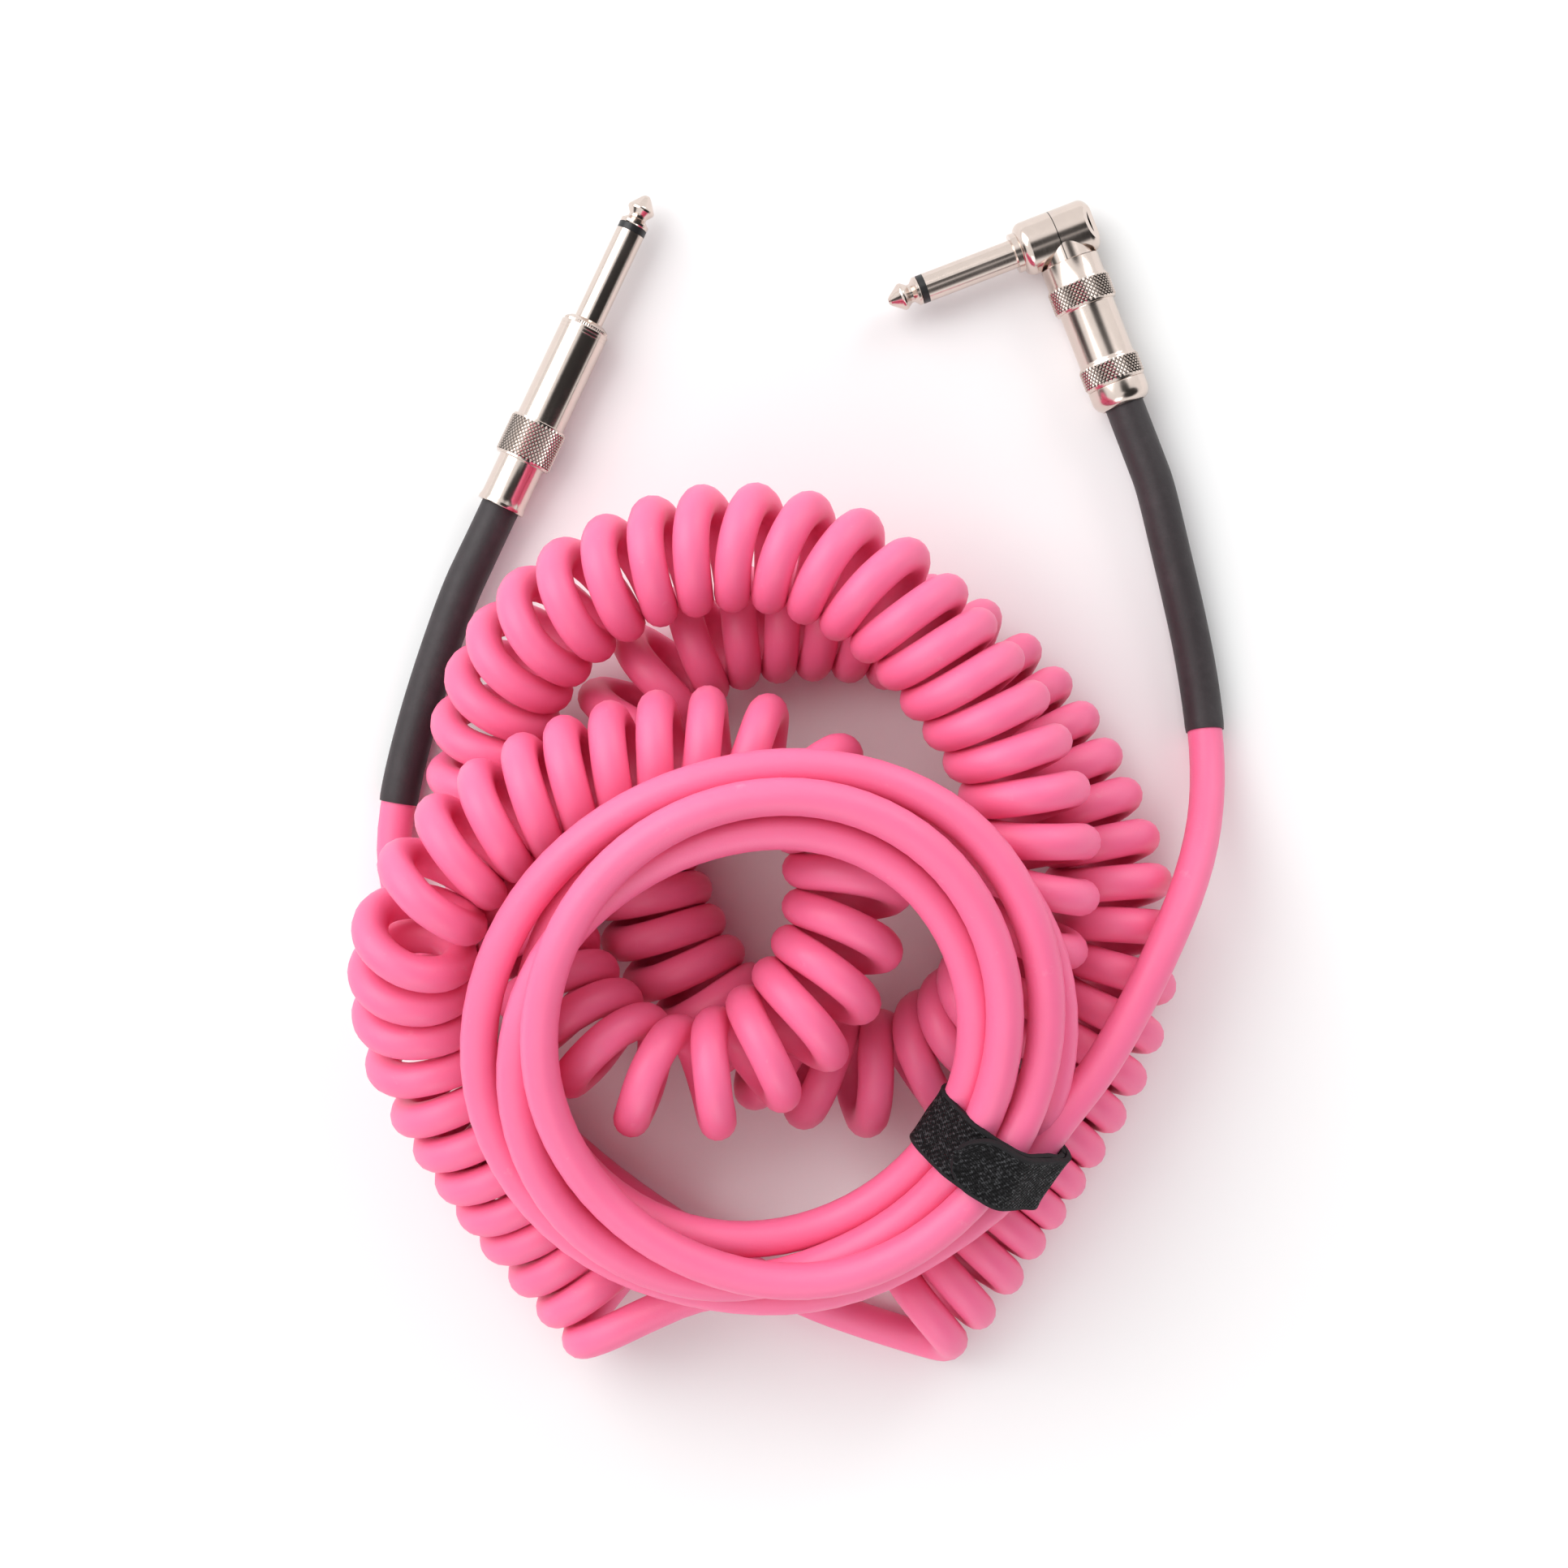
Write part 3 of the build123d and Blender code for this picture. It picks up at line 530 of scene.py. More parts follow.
# ---------------------------------------------------------------- what a user would change
class CableSettings(bpy.types.PropertyGroup):
    jacket_radius: FloatProperty(
        name="Jacket radius", description="Radius of the cable's jacket",
        default=0.00385, min=0.001, unit="LENGTH", subtype="DISTANCE")
    coil_radius: FloatProperty(
        name="Coil radius", description="Radius of the curly section, to the middle of the cable",
        default=0.00985, min=0.004, unit="LENGTH", subtype="DISTANCE")
    turn_spacing: FloatProperty(
        name="Turn spacing", description="Distance between turns on the inside of a bend",
        default=0.00782, min=0.004, unit="LENGTH", subtype="DISTANCE")
    points_per_turn: IntProperty(
        name="Points per turn", description="Control points in each turn of the curly section",
        default=12, min=12, max=24)
    jacket_colour: FloatVectorProperty(
        name="Jacket colour", description="Colour of the jacket",
        default=(0.93, 0.165, 0.335), size=3, min=0, max=1, subtype="COLOR")
    sleeve_wall: FloatProperty(
        name="Sleeve wall", description="Thickness of the heat-shrink sleeves",
        default=0.00045, min=0.0001, unit="LENGTH", subtype="DISTANCE")
    sleeve_colour: FloatVectorProperty(
        name="Sleeve colour", description="Colour of the heat-shrink sleeves",
        default=(0.032, 0.0255, 0.028), size=3, min=0, max=1, subtype="COLOR")


class PlugSettings(bpy.types.PropertyGroup):
    knurl_height: FloatProperty(
        name="Knurl height", description="How far the knurl's points stand out",
        default=0.00027, min=0, unit="LENGTH", subtype="DISTANCE")
    metal_colour: FloatVectorProperty(
        name="Metal colour", description="Colour of the plated metal",
        default=(0.72, 0.615, 0.555), size=3, min=0, max=1, subtype="COLOR")


class TieSettings(bpy.types.PropertyGroup):
    width: FloatProperty(
        name="Width", description="Width of the tie's strap",
        default=0.0135, min=0.005, unit="LENGTH", subtype="DISTANCE")
    thickness: FloatProperty(
        name="Thickness", description="Thickness of one layer of the strap",
        default=0.0012, min=0.0003, unit="LENGTH", subtype="DISTANCE")
    strap_colour: FloatVectorProperty(
        name="Strap colour", description="Colour of the strap's weave",
        default=(0.0065, 0.006, 0.0065), size=3, min=0, max=1, subtype="COLOR")


class StageSettings(bpy.types.PropertyGroup):
    camera_height: FloatProperty(
        name="Camera height", description="Height of the camera above the surface",
        default=0.65, min=0.2, unit="LENGTH", subtype="DISTANCE")
    lens: FloatProperty(
        name="Lens", description="Focal length of the camera", default=67.16, min=20, unit="CAMERA")
    floor_colour: FloatVectorProperty(
        name="Floor colour", description="Colour of the floor",
        default=(0.93, 0.93, 0.93), size=3, min=0, max=1, subtype="COLOR")
    key_power: FloatProperty(
        name="Key light", description="Power of the main soft light",
        default=13.0, min=0, unit="POWER")
    tent_light: FloatProperty(
        name="Tent light", description="Brightness of the white tent round the stage",
        default=1.02, min=0)


# ---------------------------------------------------------------- finishes
def jacket_finish(cable):
    """Soft-gloss flexible plastic: faint clouding, fine grain, a few rubbed places."""
    made = Finish("pink_jacket", Roughness=0.42, IOR=1.48)
    where = made.place()
    base = Vector(cable.jacket_colour)
    clouds = made.noise(where, 55, 3)
    tint = made.mix(clouds, colour(base * 0.94), colour(base * 1.03 + Vector((0.03, 0.012, 0.02))))
    rubbed = made.patches(made.noise(where, 210, 4, 0.65), 0.66, 0.78)
    worn = made.mix(rubbed * 0.16, tint, colour((0.95, 0.55, 0.66)))
    made.feed("Base Color", worn)
    made.feed("Roughness", made.noise(where, 130, 3) * 0.16 + 0.36)
    grain = made.noise(where, 2600, 2) * 0.6 + made.noise(where, 420, 3)
    made.bump(grain, 0.00012, 0.35)
    made.shader.inputs["Subsurface Weight"].default_value = 0.12
    made.shader.inputs["Subsurface Radius"].default_value = (1.0, 0.25, 0.3)
    made.shader.inputs["Subsurface Scale"].default_value = 0.0025
    return made


def sleeve_finish(cable):
    """Matte heat-shrink tubing with a dusty sheen and fine mould grain."""
    made = Finish("black_heat_shrink", Roughness=0.5, IOR=1.45)
    where = made.place()
    base = Vector(cable.sleeve_colour)
    dust = made.patches(made.noise(where, 160, 5, 0.7), 0.5, 0.85)
    made.feed("Base Color", made.mix(dust * 0.5, colour(base), colour(base * 2.1)))
    made.feed("Roughness", made.noise(where, 300, 3) * 0.18 + 0.42)
    made.bump(made.noise(where, 1800, 2) + made.noise(where, 240, 3) * 1.5, 0.0001, 0.4)
    return made


def metal_finish(plugs, name, middle, turn, seam=None, knurls=()):
    """Nickel plate: turning lines round the axis, handling marks, a seam and knurl grooves darkened with
    painted shade.
    """
    made = Finish(name, Metallic=1.0, Roughness=0.16)
    along = made.place(middle, turn)
    lines = made.node("ShaderNodeTexNoise", {"noise_dimensions": "1D"},
                      {"W": made.parts(along)[0], "Scale": 5200, "Detail": 2})
    marks = made.noise(along, 320, 5, 0.7)
    base = Vector(plugs.metal_colour)
    plate = made.mix(marks, colour(base * 0.92), colour(base * 1.06))
    if seam is not None:
        off = made.parts(along)[0] - seam
        plate = made.mix((off * off).above(SEAM_HALF_WIDTH ** 2), colour(base * 0.03), plate)
    if knurls:
        length, side, height = made.parts(along)
        from_axis = (side * side + height * height) ** 0.5
        for low, high, radius in knurls:
            starts, ends = min(low, high) + KNURL_RIM, max(low, high) - KNURL_RIM
            # painted shade in the knurl grooves: within each band the colour darkens to near black
            # towards the groove bottoms
            inside = length.above(starts) - length.above(ends)
            painted_groove_shade = (1 - (from_axis - radius) * (1 / plugs.knurl_height)).between(0, 1)
            plate = made.mix(inside * painted_groove_shade ** 2.6, plate, colour(base * 0.06))
    made.feed("Base Color", plate)
    made.feed("Roughness", lines * 0.08 + made.noise(along, 90, 4) * 0.14 + 0.06)
    made.bump(lines + marks * 0.4, 0.00001, 0.35)
    return made


def dark_finish(name, base, roughness, grain):
    """Moulded or drawn small parts: a base colour with fine grain."""
    made = Finish(name, Roughness=roughness)
    where = made.place()
    spots = made.noise(where, grain, 3)
    base = Vector(base)
    made.feed("Base Color", made.mix(spots, colour(base * 0.85), colour(base * 1.15)))
    made.feed("Roughness", spots * 0.15 + roughness - 0.07)
    made.bump(spots, 0.00005, 0.3)
    return made


def strap_finish(tie):
    """Woven tape: ribs along it, picks across it by turns, shiny stray loops and a bound edge; the
    colour holds painted shade in the weave's hollows, painted light on its raised threads and painted
    glints on the loops.
    """
    made = Finish("woven_strap", Roughness=0.75)
    made.shader.inputs["Specular IOR Level"].default_value = 0.14
    length, width = made.parts(made.node("ShaderNodeTexCoord", output="UV"))[:2]
    rib = (width * (2 * math.pi / RIB_SPACING)).wave()
    pick = (length * (2 * math.pi / PICK_SPACING) + width * (math.pi / RIB_SPACING)).wave()
    weave = rib * pick * 0.5 + 0.5
    off = width - tie.width / 2
    edge = (off * off).above((tie.width / 2 - BOUND_EDGE) ** 2)
    where = made.place()
    # painted glint: on sparse stray loops the colour turns light grey; their lower roughness is real
    loop_and_glint_spots = made.patches(made.noise(where, 1300, 3, 0.7), 0.5, 0.62)
    loop_shine_and_glint = loop_and_glint_spots * weave * (1 - edge)
    base = Vector(tie.strap_colour)
    # painted shade and light: the threads' colour is darker in the weave's hollows and lighter on its
    # raised threads, following the same weave as the bump
    threads_and_painted_shade = made.mix(weave, colour(base * 0.4), colour(base * 2.2))
    threads_and_painted_shade = made.mix(edge, threads_and_painted_shade, colour(base * 3.2))
    # light grey painted glint colour on the stray loops
    made.feed("Base Color", made.mix(loop_shine_and_glint * 0.6, threads_and_painted_shade, colour((0.15, 0.15, 0.16))))
    made.feed("Roughness", 0.75 - loop_shine_and_glint * 0.45)
    made.bump(weave * (1 - edge) + made.noise(where, 900, 3) * 0.5, 0.00035, 0.9)
    return made


# ---------------------------------------------------------------- pieces
class CABLE_OT_jacket(bpy.types.Operator):
    """Run the whole cable from one plug to the other: leads, curly section and tied ring"""
    bl_idname = "cable.jacket"
    bl_label = "Cable"

    def execute(self, context):
        cable = context.scene.cable_settings
        deselect()
        line = smooth_line("cable_jacket", cable_line(cable), 3, depth=cable.jacket_radius)
        finish_with(line, jacket_finish(cable), "jacket", "cable",
                    "cable_end_a", "lead_a", "curly_outer_loop", "curly_top_loop", "curly_inner_loop",
                    "curly_left_loop", "link_cord", "tied_ring", "lead_b", "cable_end_b")
        return {"FINISHED"}


def tube_along(name, path, radii, sides=40):
    """A round tube along given points: a ring of vertices at each, joined to the last by faces."""
    mesh = bpy.data.meshes.new(name)
    vertices, faces = [], []
    for i, (place, radius) in enumerate(zip(path, radii)):
        along = (path[min(i + 1, len(path) - 1)] - path[max(i - 1, 0)]).normalized()
        side = Vector((along.y, -along.x, 0)).normalized()
        up = side.cross(along)
        for k in range(sides):
            angle = 2 * math.pi * k / sides
            vertices.append(place + (side * math.cos(angle) + up * math.sin(angle)) * radius)
        if i:
            base = (i - 1) * sides
            for k in range(sides):
                n = (k + 1) % sides
                faces.append((base + k, base + sides + k, base + sides + n, base + n))
    mesh.from_pydata(vertices, [], faces)
    tube = bpy.data.objects.new(name, mesh)
    bpy.context.collection.objects.link(tube)
    return tube


class CABLE_OT_sleeves(bpy.types.Operator):
    """Shrink the two black sleeves on the cable, each from inside its plug"""
    bl_idname = "cable.sleeves"
    bl_label = "Heat-shrink sleeves"

    def execute(self, context):
        cable = context.scene.cable_settings
        finish = sleeve_finish(cable)
        points = cable_line(cable)
        for name, skip, length, ends in (
                ("heat_shrink_a", SLEEVE_START_A - JACKET_END_A, SLEEVE_LENGTH_A,
                 points[:SLEEVE_POINTS_A]),
                ("heat_shrink_b", SLEEVE_START_B - JACKET_END_B, SLEEVE_LENGTH_B,
                 points[-SLEEVE_POINTS_B:][::-1])):
            path = read_line(ends, resolution=10)
            run = distances(path)
            inner, outer = cable.jacket_radius + SLEEVE_GAP, cable.jacket_radius + cable.sleeve_wall
            kept = [(place, far) for place, far in zip(path, run) if skip <= far <= skip + length]
            places = [place for place, far in kept]
            radii = [outer * (1 + 0.008 * noise.noise(place * 90)) for place in places]
            radii[0] = radii[-1] = outer - SLEEVE_LIP
            tube = tube_along(name + "_tube", places + places[::-1], radii + [inner] * len(places))
            only(tube)
            bpy.ops.object.mode_set(mode="EDIT")
            bpy.ops.mesh.select_all(action="SELECT")
            bpy.ops.mesh.remove_doubles(threshold=1e-7)
            bpy.ops.mesh.select_all(action="DESELECT")
            bpy.ops.mesh.select_non_manifold()
            bpy.ops.mesh.bridge_edge_loops()
            turn_faces_outwards()
            smooth(tube, 40)
            finish_with(tube, finish, "heat_shrink", "cable", name)
        return {"FINISHED"}


class CABLE_OT_straight_plug(bpy.types.Operator):
    """Turn the straight plug's body and its knurled shell, and plate its metal"""
    bl_idname = "cable.straight_plug"
    bl_label = "Straight plug"

    def execute(self, context):
        plugs = context.scene.plug_settings
        front, band, tail, back = -1.6, -24.8, -34.2, -45.2
        grip, rim, rows, sides, flange_sides = 6.14, 0.32, 16, 80, 120
        # this finish paints shade into the knurled band's grooves
        metal = metal_finish(plugs, "nickel_straight", PLUG_A_AT, PLUG_A_ANGLE,
                             knurls=[(band * MM, tail * MM, grip * MM)])
        here = frame_along(PLUG_A_AT, TO_TIP_A)
        body = [(2.1, -7.6), (4.85, -7.6), (4.85, -1.6), (4.98, -1.6), (5.0, -1.55), (5.0, -0.95),
                (4.86, -0.8), (3.95, -0.12), (3.7, 0), (3.3, 0), (3.175, 0.08), (3.175, 21.62),
                (3.1, 21.7), (2.1, 21.7), (2.1, -7.6)]
        body = turned_piece("straight_plug_body", [(r * MM, z * MM) for r, z in body], flange_sides)
        raise_vertices(body, every_other_tooth(flange_sides, 0.00484, above=-0.0017), 1.018)
        put(body, here)
        smooth(body, 25)
        finish_with(body, metal, "nickel", "cable", "plug_a_body")

        shell = [(4.9, front), (5.3, front), (5.45, front - 0.15), (5.45, front - 0.7),
                 (5.4, front - 0.76), (5.4, front - 0.86), (5.45, front - 0.92), (5.45, front - 1.5),
                 (5.4, front - 1.56), (5.4, front - 1.66), (5.45, front - 1.72), (5.45, band + 0.35),
                 (5.5, band + 0.06), (5.6, band), (6.0, band), (6.12, band - 0.12)]
        shell += ring_steps(grip, band - rim, tail + rim, rows)
        shell += [(6.12, tail + 0.12), (6.0, tail), (5.25, tail), (5.13, tail - 0.1), (5.1, tail - 0.3),
                  (5.1, back + 2.4), (5.2, back + 1.4), (5.36, back + 0.9), (5.4, back + 0.6),
                  (5.4, back + 0.2), (5.3, back + 0.04), (4.9, back), (4.6, back + 0.06),
                  (4.55, back + 0.2), (4.55, tail + 1), (4.9, tail + 1), (4.9, front)]
        shell = turned_piece("straight_plug_shell", [(r * MM, z * MM) for r, z in shell], sides)
        knurl(shell, sides, grip * MM, (band - rim) * MM, (tail + rim) * MM, rows,
              1 + plugs.knurl_height / (grip * MM))
        put(shell, here)
        smooth(shell, 22)
        finish_with(shell, metal, "nickel", "shell_a", "plug_a_shell")
        coat_node("plug_a_tip", metal)
        return {"FINISHED"}


class CABLE_OT_right_angle_plug(bpy.types.Operator):
    """Turn the right-angle plug's knurled barrel and shaft collar, and plate its metal"""
    bl_idname = "cable.right_angle_plug"
    bl_label = "Right-angle plug"

    def execute(self, context):
        plugs = context.scene.plug_settings
        start, first, waist, second, tail, end = 6.1, 10.8, 16.7, 29.3, 34.6, 39.7
        rim, sides, collar_sides = 0.3, 84, 120
        knurls = ((6.82, first, waist, 10), (6.57, second, tail, 8))
        shaft_metal = metal_finish(plugs, "nickel_shaft", PLUG_B_AT, PLUG_B_ANGLE, seam=0.001)
        # this finish paints shade into the knurled bands' grooves
        barrel_metal = metal_finish(plugs, "nickel_barrel", PLUG_B_AT, PLUG_B_ANGLE + math.pi / 2,
                                    knurls=[(low * MM, high * MM, grip * MM)
                                            for grip, low, high, rows in knurls])
        front_rings, back_rings = (ring_steps(grip, low + rim, high - rim, rows)
                                   for grip, low, high, rows in knurls)
        outline = [(5.6, start), (6.4, start), (6.55, start + 0.15), (6.55, first - 0.25),
                   (6.62, first - 0.05), (6.75, first)]
        outline += front_rings
        outline += [(6.72, waist), (6.35, waist + 0.05), (6.22, waist + 0.25), (6.2, waist + 0.6),
                    (6.2, second - 0.6), (6.22, second - 0.25), (6.3, second - 0.05), (6.45, second)]
        outline += back_rings
        outline += [(6.5, tail), (6.32, tail + 0.02), (6.3, tail + 0.16), (6.48, tail + 0.3),
                    (6.5, tail + 0.5), (6.5, end - 2.6), (6.4, end - 1.9), (6.16, end - 1.25),
                    (5.8, end - 0.7), (5.3, end - 0.25), (4.85, end), (4.62, end), (4.55, end - 0.1),
                    (4.55, tail - 0.5), (5.6, tail - 0.5), (5.6, start)]
        barrel = turned_piece("right_angle_barrel", [(r * MM, -d * MM) for r, d in outline], sides)
        for grip, low, high, rows in knurls:
            knurl(barrel, sides, grip * MM, -(low + rim) * MM, -(high - rim) * MM, rows,
                  1 + plugs.knurl_height / (grip * MM))
        put(barrel, frame_along(PLUG_B_AT, -TO_CORD_B))
        smooth(barrel, 22)
        finish_with(barrel, barrel_metal, "nickel", "barrel_b", "plug_b_barrel")

        collar = [(3.18, -0.6), (4.3, -0.6), (4.3, 0.55), (4.15, 0.7), (4.15, 0.95), (3.9, 1.2),
                  (3.3, 1.25), (3.18, 1.2), (3.18, -0.6)]
        collar = turned_piece("right_angle_collar", [(r * MM, z * MM) for r, z in collar], collar_sides)
        raise_vertices(collar, every_other_tooth(collar_sides, 0.0041), 1.02)
        put(collar, frame_along(PLUG_B_AT + TO_TIP_B * (COLLAR_B - COLLAR_FRONT), TO_TIP_B))
        smooth(collar, 25)
        finish_with(collar, shaft_metal, "nickel", "cable")
        for name in ("plug_b_tip", "plug_b_sleeve", "plug_b_housing", "plug_b_back_cover"):
            coat_node(name, shaft_metal)
        return {"FINISHED"}


class CABLE_OT_inner_pieces(bpy.types.Operator):
    """Finish the small pieces: insulators, lugs, clamps, liners, cores and braids"""
    bl_idname = "cable.inner_pieces"
    bl_label = "Inner pieces"

    def execute(self, context):
        finishes = {
            "tip_ring": dark_finish("black_insulator", (0.012, 0.012, 0.013), 0.35, 900),
            "rod_insulator": dark_finish("black_tube", (0.02, 0.02, 0.02), 0.5, 900),
            "rear_washer": dark_finish("phenolic_washer", (0.09, 0.045, 0.02), 0.55, 700),
            "tip_lug": dark_finish("brass_lug", (0.72, 0.5, 0.2), 0.3, 600),
            "ground_clamp": dark_finish("plated_clamp", (0.62, 0.6, 0.57), 0.3, 600),
            "liner": dark_finish("liner_plastic", (0.05, 0.05, 0.055), 0.3, 300),
            "cable_core": dark_finish("core_insulation", (0.8, 0.77, 0.68), 0.45, 400),
            "cable_shield": dark_finish("copper_braid", (0.7, 0.36, 0.2), 0.35, 3000),
        }
        for metal in ("tip_lug", "ground_clamp", "cable_shield"):
            finishes[metal].shader.inputs["Metallic"].default_value = 1.0
        for node in frame["nodes"]:
            for part, finish in finishes.items():
                if part in node:
                    coat_node(node, finish)
        return {"FINISHED"}


def hull(points):
    """Outer corners of a set of flat points, counterclockwise."""
    points = sorted(points)

    def half(ordered):
        line = []
        for p in ordered:
            while len(line) > 1 and ((line[-1][0] - line[-2][0]) * (p[1] - line[-2][1])
                                     - (line[-1][1] - line[-2][1]) * (p[0] - line[-2][0])) <= 0:
                line.pop()
            line.append(p)
        return line[:-1]

    return half(points) + half(points[::-1])


def strap_outline(strands, gap, count):
    """Evenly spaced points of a strap pulled tight round strands, from its outer side."""
    cloud = [(x + gap * math.cos(a), y + gap * math.sin(a))
             for x, y in strands for a in (2 * math.pi * k / 48 for k in range(48))]
    corners = [Vector(p) for p in hull(cloud)]
    corners.append(corners[0])
    run = distances(corners)
    spaced, i = [], 0
    for k in range(count):
        far = run[-1] * k / count
        while run[i + 1] < far:
            i += 1
        spaced.append(corners[i].lerp(corners[i + 1], (far - run[i]) / (run[i + 1] - run[i])))
    first = max(range(count), key=lambda k: spaced[k].x)
    return spaced[first:] + spaced[:first], run[-1]


class CABLE_OT_tie(bpy.types.Operator):
    """Wrap the hook-and-loop strap round the gathered turns and lay its tail over it"""
    bl_idname = "cable.tie"
    bl_label = "Hook-and-loop tie"

    def execute(self, context):
        tie, cable = context.scene.tie_settings, context.scene.cable_settings
        path = read_line(cable_line(cable), resolution=4)
        across = Vector((-TIE_ALONG.y, TIE_ALONG.x, 0)).normalized()
        up = TIE_ALONG.cross(across)
        strands = []
        for before, after in zip(path, path[1:]):
            low, high = (before - TIE_AT).dot(TIE_ALONG), (after - TIE_AT).dot(TIE_ALONG)
            if low * high < 0:
                place = before.lerp(after, low / (low - high)) - TIE_AT
                if place.length < STRAND_REACH:
                    strands.append((place.dot(across), place.dot(up)))
        if not strands:
            raise RuntimeError("no strand of the cable passes through the tie")
        finish = strap_finish(tie)
        to_place = Matrix((across, up, TIE_ALONG)).transposed().to_4x4()
        to_place.translation = TIE_AT

        def strap(name, gap, start, end, taper, slot, node, widen=1.0):
            """One layer: a flat grid, laid round the strands, then given its thickness."""
            around, wide = 240, 14
            outline, girth = strap_outline(strands, cable.jacket_radius + gap, around)
            length = (end - start) * girth
            steps = int((end - start) * around)
            deselect()
            bpy.ops.mesh.primitive_grid_add(x_subdivisions=steps, y_subdivisions=wide, size=1)
            layer = bpy.context.object
            layer.name = layer.data.name = name
            for corner in layer.data.uv_layers.active.data:
                corner.uv = (corner.uv.x * length, corner.uv.y * tie.width)
            for vertex in layer.data.vertices:
                share, offset = vertex.co.x + 0.5, vertex.co.y
                far = (start + (end - start) * share) * around
                near, part = int(math.floor(far)), far - math.floor(far)
                flat = outline[near % around].lerp(outline[(near + 1) % around], part)
                ahead = outline[(near + 2) % around] - outline[(near - 2) % around]
                outward = Vector((ahead.y, -ahead.x)).normalized()
                narrow = 1.0
                if taper:
                    left = (1 - share) * length / (tie.width / 2)
                    narrow = math.sqrt(max(0.0, 1 - (1 - min(left, 1)) ** 2)) * 0.97 + 0.03
                lift = 0.00022 * noise.noise(Vector((far * 0.09, offset * 2.5, gap * 900)))
                lift += EDGE_CURL * (2 * offset) ** 4
                if taper:
                    lift += TAIL_LIFT * max(0.0, share - LIFT_FROM) / (1 - LIFT_FROM)
                flat = flat + outward * lift
                vertex.co = (flat.x, flat.y, offset * tie.width * widen * narrow
                             + 0.00035 * noise.noise(Vector((far * 0.05, gap * 900, 3))))
            only(layer)
            for kind, values in (("SOLIDIFY", {"thickness": tie.thickness, "offset": 1.0}),
                                 ("BEVEL", {"width": 0.00025, "segments": 2, "limit_method": "ANGLE"})):
                modifier = layer.modifiers.new(kind.title(), kind)
                for label, value in values.items():
                    setattr(modifier, label, value)
                bpy.ops.object.modifier_apply(modifier=modifier.name)
            bpy.ops.object.mode_set(mode="EDIT")
            turn_faces_outwards()
            put(layer, to_place)
            smooth(layer, 40)
            finish_with(layer, finish, slot, "cable", node)

        strap("tie_strap", 0.0002, 0.0, 0.995, False, "tie_loop", "tie_band")
        strap("tie_tail", 0.0003 + tie.thickness, -0.06, 0.36, True, "tie_hook", "tie_hook_tab", 0.97)
        return {"FINISHED"}


class CABLE_OT_declare(bpy.types.Operator):
    """Work out the length of the cable's line"""
    bl_idname = "cable.declare"
    bl_label = "Cable facts"

    def execute(self, context):
        cable = context.scene.cable_settings
        length = distances(read_line(cable_line(cable), resolution=3))[-1]
        return {"FINISHED"}


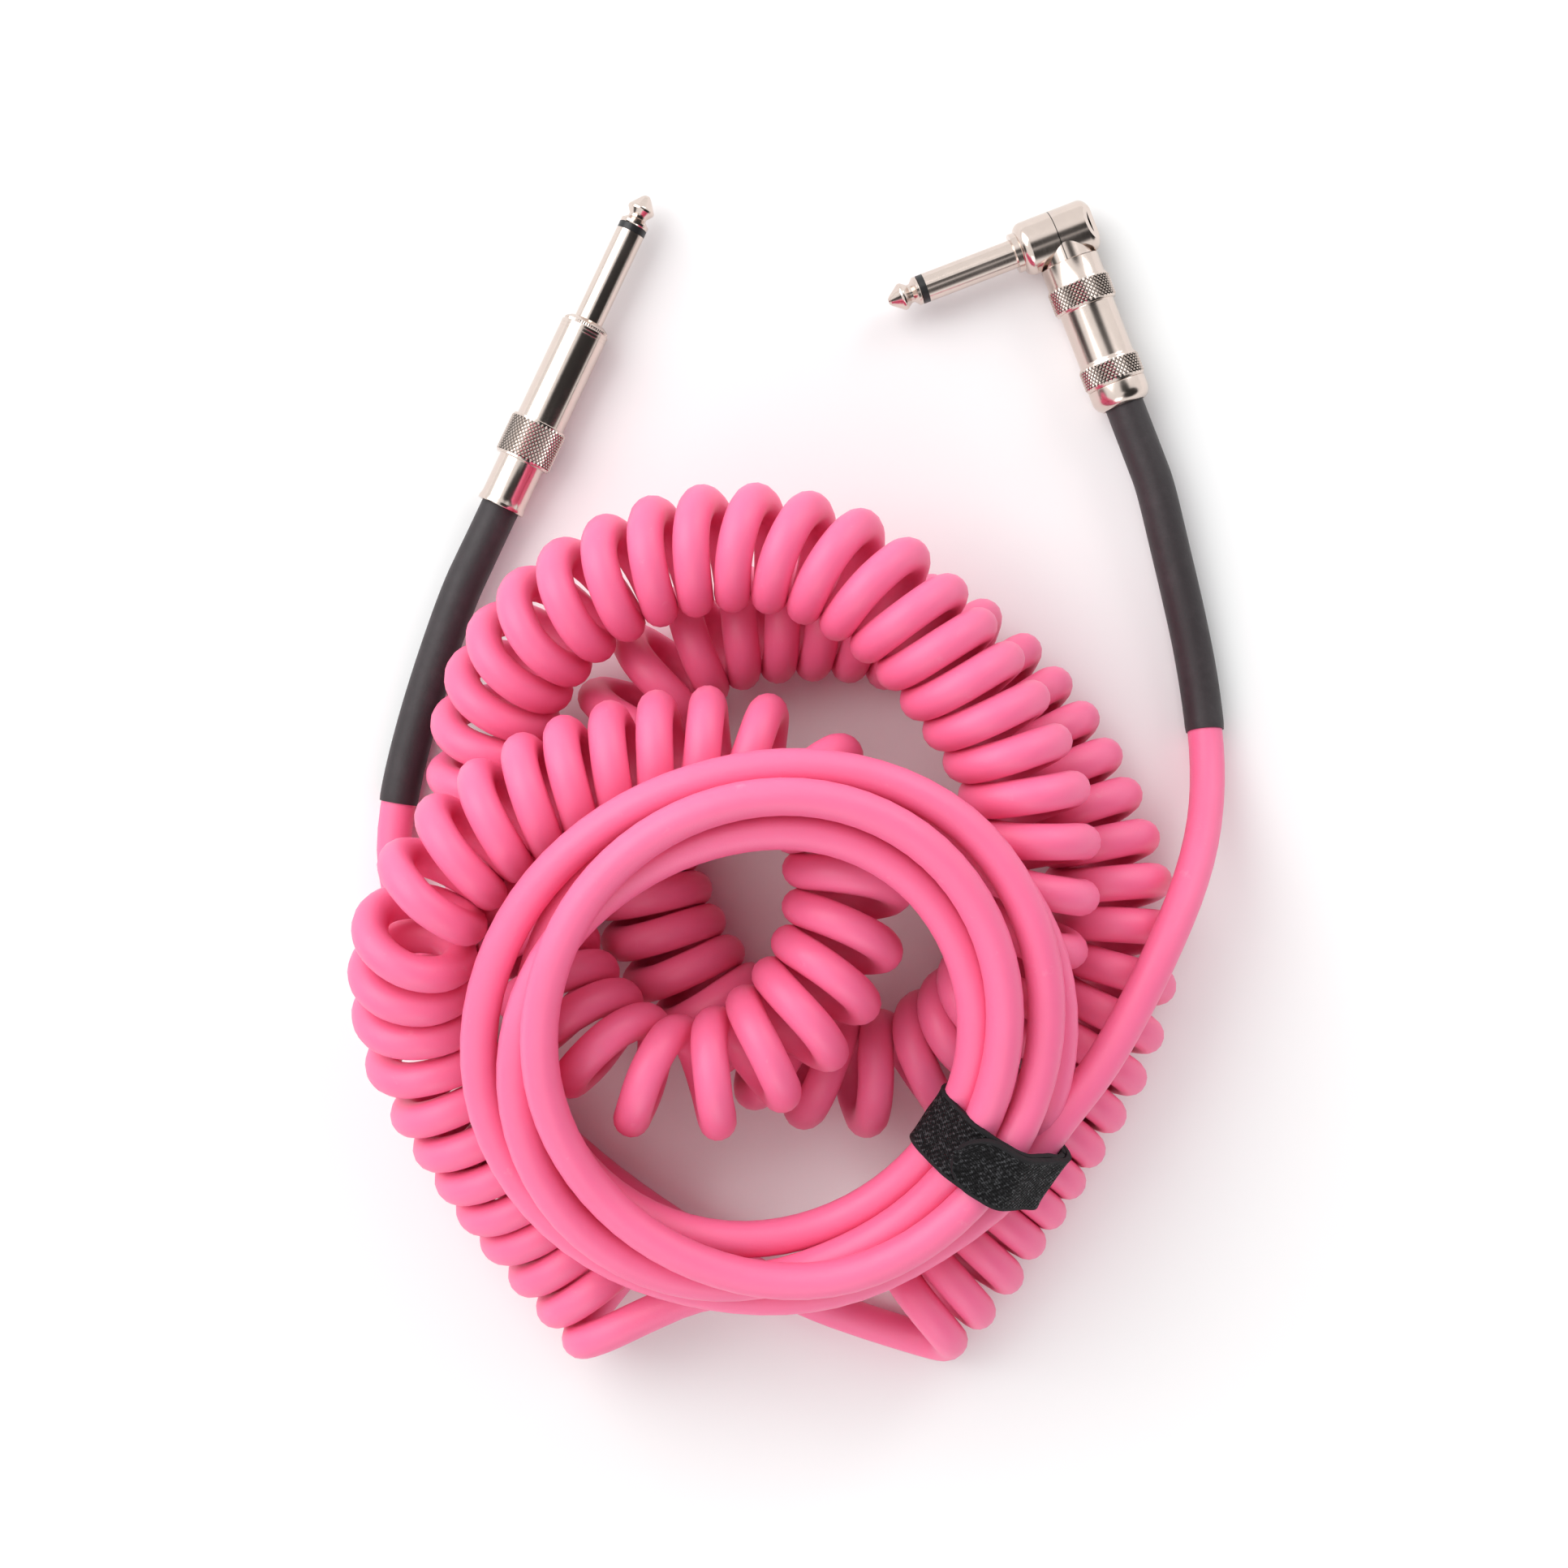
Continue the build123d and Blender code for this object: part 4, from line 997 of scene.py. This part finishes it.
class CABLE_OT_stage(bpy.types.Operator):
    """Lay the pale floor, set the soft lights and hang the camera over the middle"""
    bl_idname = "cable.stage"
    bl_label = "Stage"

    def execute(self, context):
        stage = context.scene.stage_settings
        deselect()
        bpy.ops.mesh.primitive_plane_add(size=6, location=(0, 0, 0))
        floor = context.object
        floor.name = "stage_floor"
        paper = Finish("pale_paper", Roughness=0.9)
        clouds = paper.noise(paper.place(), 2.0, 2)
        base = Vector(stage.floor_colour)
        paper.feed("Base Color", paper.mix(clouds, colour(base * 0.99), colour(base)))
        floor.data.materials.append(paper.material)
        for name, place, size, power in (
                ("key", (-0.9, 0.6, 1.05), 1.3, stage.key_power),
                ("fill", (0.7, 0.9, 0.7), 0.5, stage.key_power * 0.2),
                ("front", (0.1, -1.1, 0.7), 0.6, stage.key_power * 0.15)):
            light = bpy.data.lights.new(name, "AREA")
            light.size, light.energy = size, power
            lamp = bpy.data.objects.new(name, light)
            lamp.location = place
            lamp.rotation_euler = (-Vector(place)).to_track_quat("-Z", "Y").to_euler()
            context.collection.objects.link(lamp)
        self.hang_tent(stage)
        camera = bpy.data.objects.new("camera", bpy.data.cameras.new("camera"))
        camera.data.lens = stage.lens
        camera.data.sensor_width = 36
        camera.location = (-0.00235, -0.00285, stage.camera_height)
        context.collection.objects.link(camera)
        context.scene.camera = camera
        context.scene.view_settings.view_transform = "Standard"
        return {"FINISHED"}

    def hang_tent(self, stage):
        """White studio tent with dark openings, which the plated metal reflects."""
        world = bpy.data.worlds.new("studio_tent")
        world.use_nodes = True
        tree = world.node_tree
        bpy.context.scene.world = world
        aim = tree.nodes.new("ShaderNodeTexCoord").outputs["Generated"]
        white = None
        for azimuth, elevation, width in TENT_OPENINGS:
            azimuth, elevation = math.radians(azimuth), math.radians(elevation)
            dot = tree.nodes.new("ShaderNodeVectorMath")
            dot.operation = "DOT_PRODUCT"
            tree.links.new(aim, dot.inputs[0])
            dot.inputs[1].default_value = (math.cos(azimuth) * math.cos(elevation),
                                           math.sin(azimuth) * math.cos(elevation), math.sin(elevation))
            edge = tree.nodes.new("ShaderNodeMapRange")
            edge.inputs["From Min"].default_value = math.cos(math.radians(width + OPENING_BLUR))
            edge.inputs["From Max"].default_value = math.cos(math.radians(width - OPENING_BLUR))
            edge.inputs["To Min"].default_value = 1.0
            edge.inputs["To Max"].default_value = 0.0
            tree.links.new(dot.outputs["Value"], edge.inputs["Value"])
            outside = Field(tree, edge.outputs["Result"])
            white = white * outside if white else outside
        glow = tree.nodes.new("ShaderNodeMapRange")
        glow.inputs["To Min"].default_value = stage.tent_light * 0.03
        glow.inputs["To Max"].default_value = stage.tent_light
        background = tree.nodes["Background"]
        tree.links.new(white.socket, glow.inputs["Value"])
        tree.links.new(glow.outputs["Result"], background.inputs["Strength"])
        background.inputs["Color"].default_value = (1, 1, 1, 1)


class CABLE_PT_panel(bpy.types.Panel):
    """The cable's sizes, colours and pieces"""
    bl_idname = "CABLE_PT_panel"
    bl_label = "Instrument cable"
    bl_space_type = "VIEW_3D"
    bl_region_type = "UI"
    bl_category = "Cable"

    def draw(self, context):
        layout = self.layout
        for settings in (context.scene.cable_settings, context.scene.plug_settings,
                         context.scene.tie_settings, context.scene.stage_settings):
            box = layout.box()
            for name in settings.__annotations__:
                box.prop(settings, name)
        for step in STEPS:
            layout.operator(step.bl_idname)


STEPS = (CABLE_OT_stage, CABLE_OT_jacket, CABLE_OT_sleeves, CABLE_OT_straight_plug,
         CABLE_OT_right_angle_plug, CABLE_OT_inner_pieces, CABLE_OT_tie, CABLE_OT_declare)
GROUPS = {"cable_settings": CableSettings, "plug_settings": PlugSettings,
          "tie_settings": TieSettings, "stage_settings": StageSettings}


def register():
    for kind in (*GROUPS.values(), *STEPS, CABLE_PT_panel):
        bpy.utils.register_class(kind)
    for name, kind in GROUPS.items():
        setattr(bpy.types.Scene, name, PointerProperty(type=kind))


def unregister():
    for name in GROUPS:
        delattr(bpy.types.Scene, name)
    for kind in reversed((*GROUPS.values(), *STEPS, CABLE_PT_panel)):
        bpy.utils.unregister_class(kind)


def main():
    register()
    bpy.ops.cable.stage()
    bpy.ops.cable.jacket()
    bpy.ops.cable.sleeves()
    bpy.ops.cable.straight_plug()
    bpy.ops.cable.right_angle_plug()
    bpy.ops.cable.inner_pieces()
    bpy.ops.cable.tie()
    bpy.ops.cable.declare()


if __name__ == "__main__":
    main()
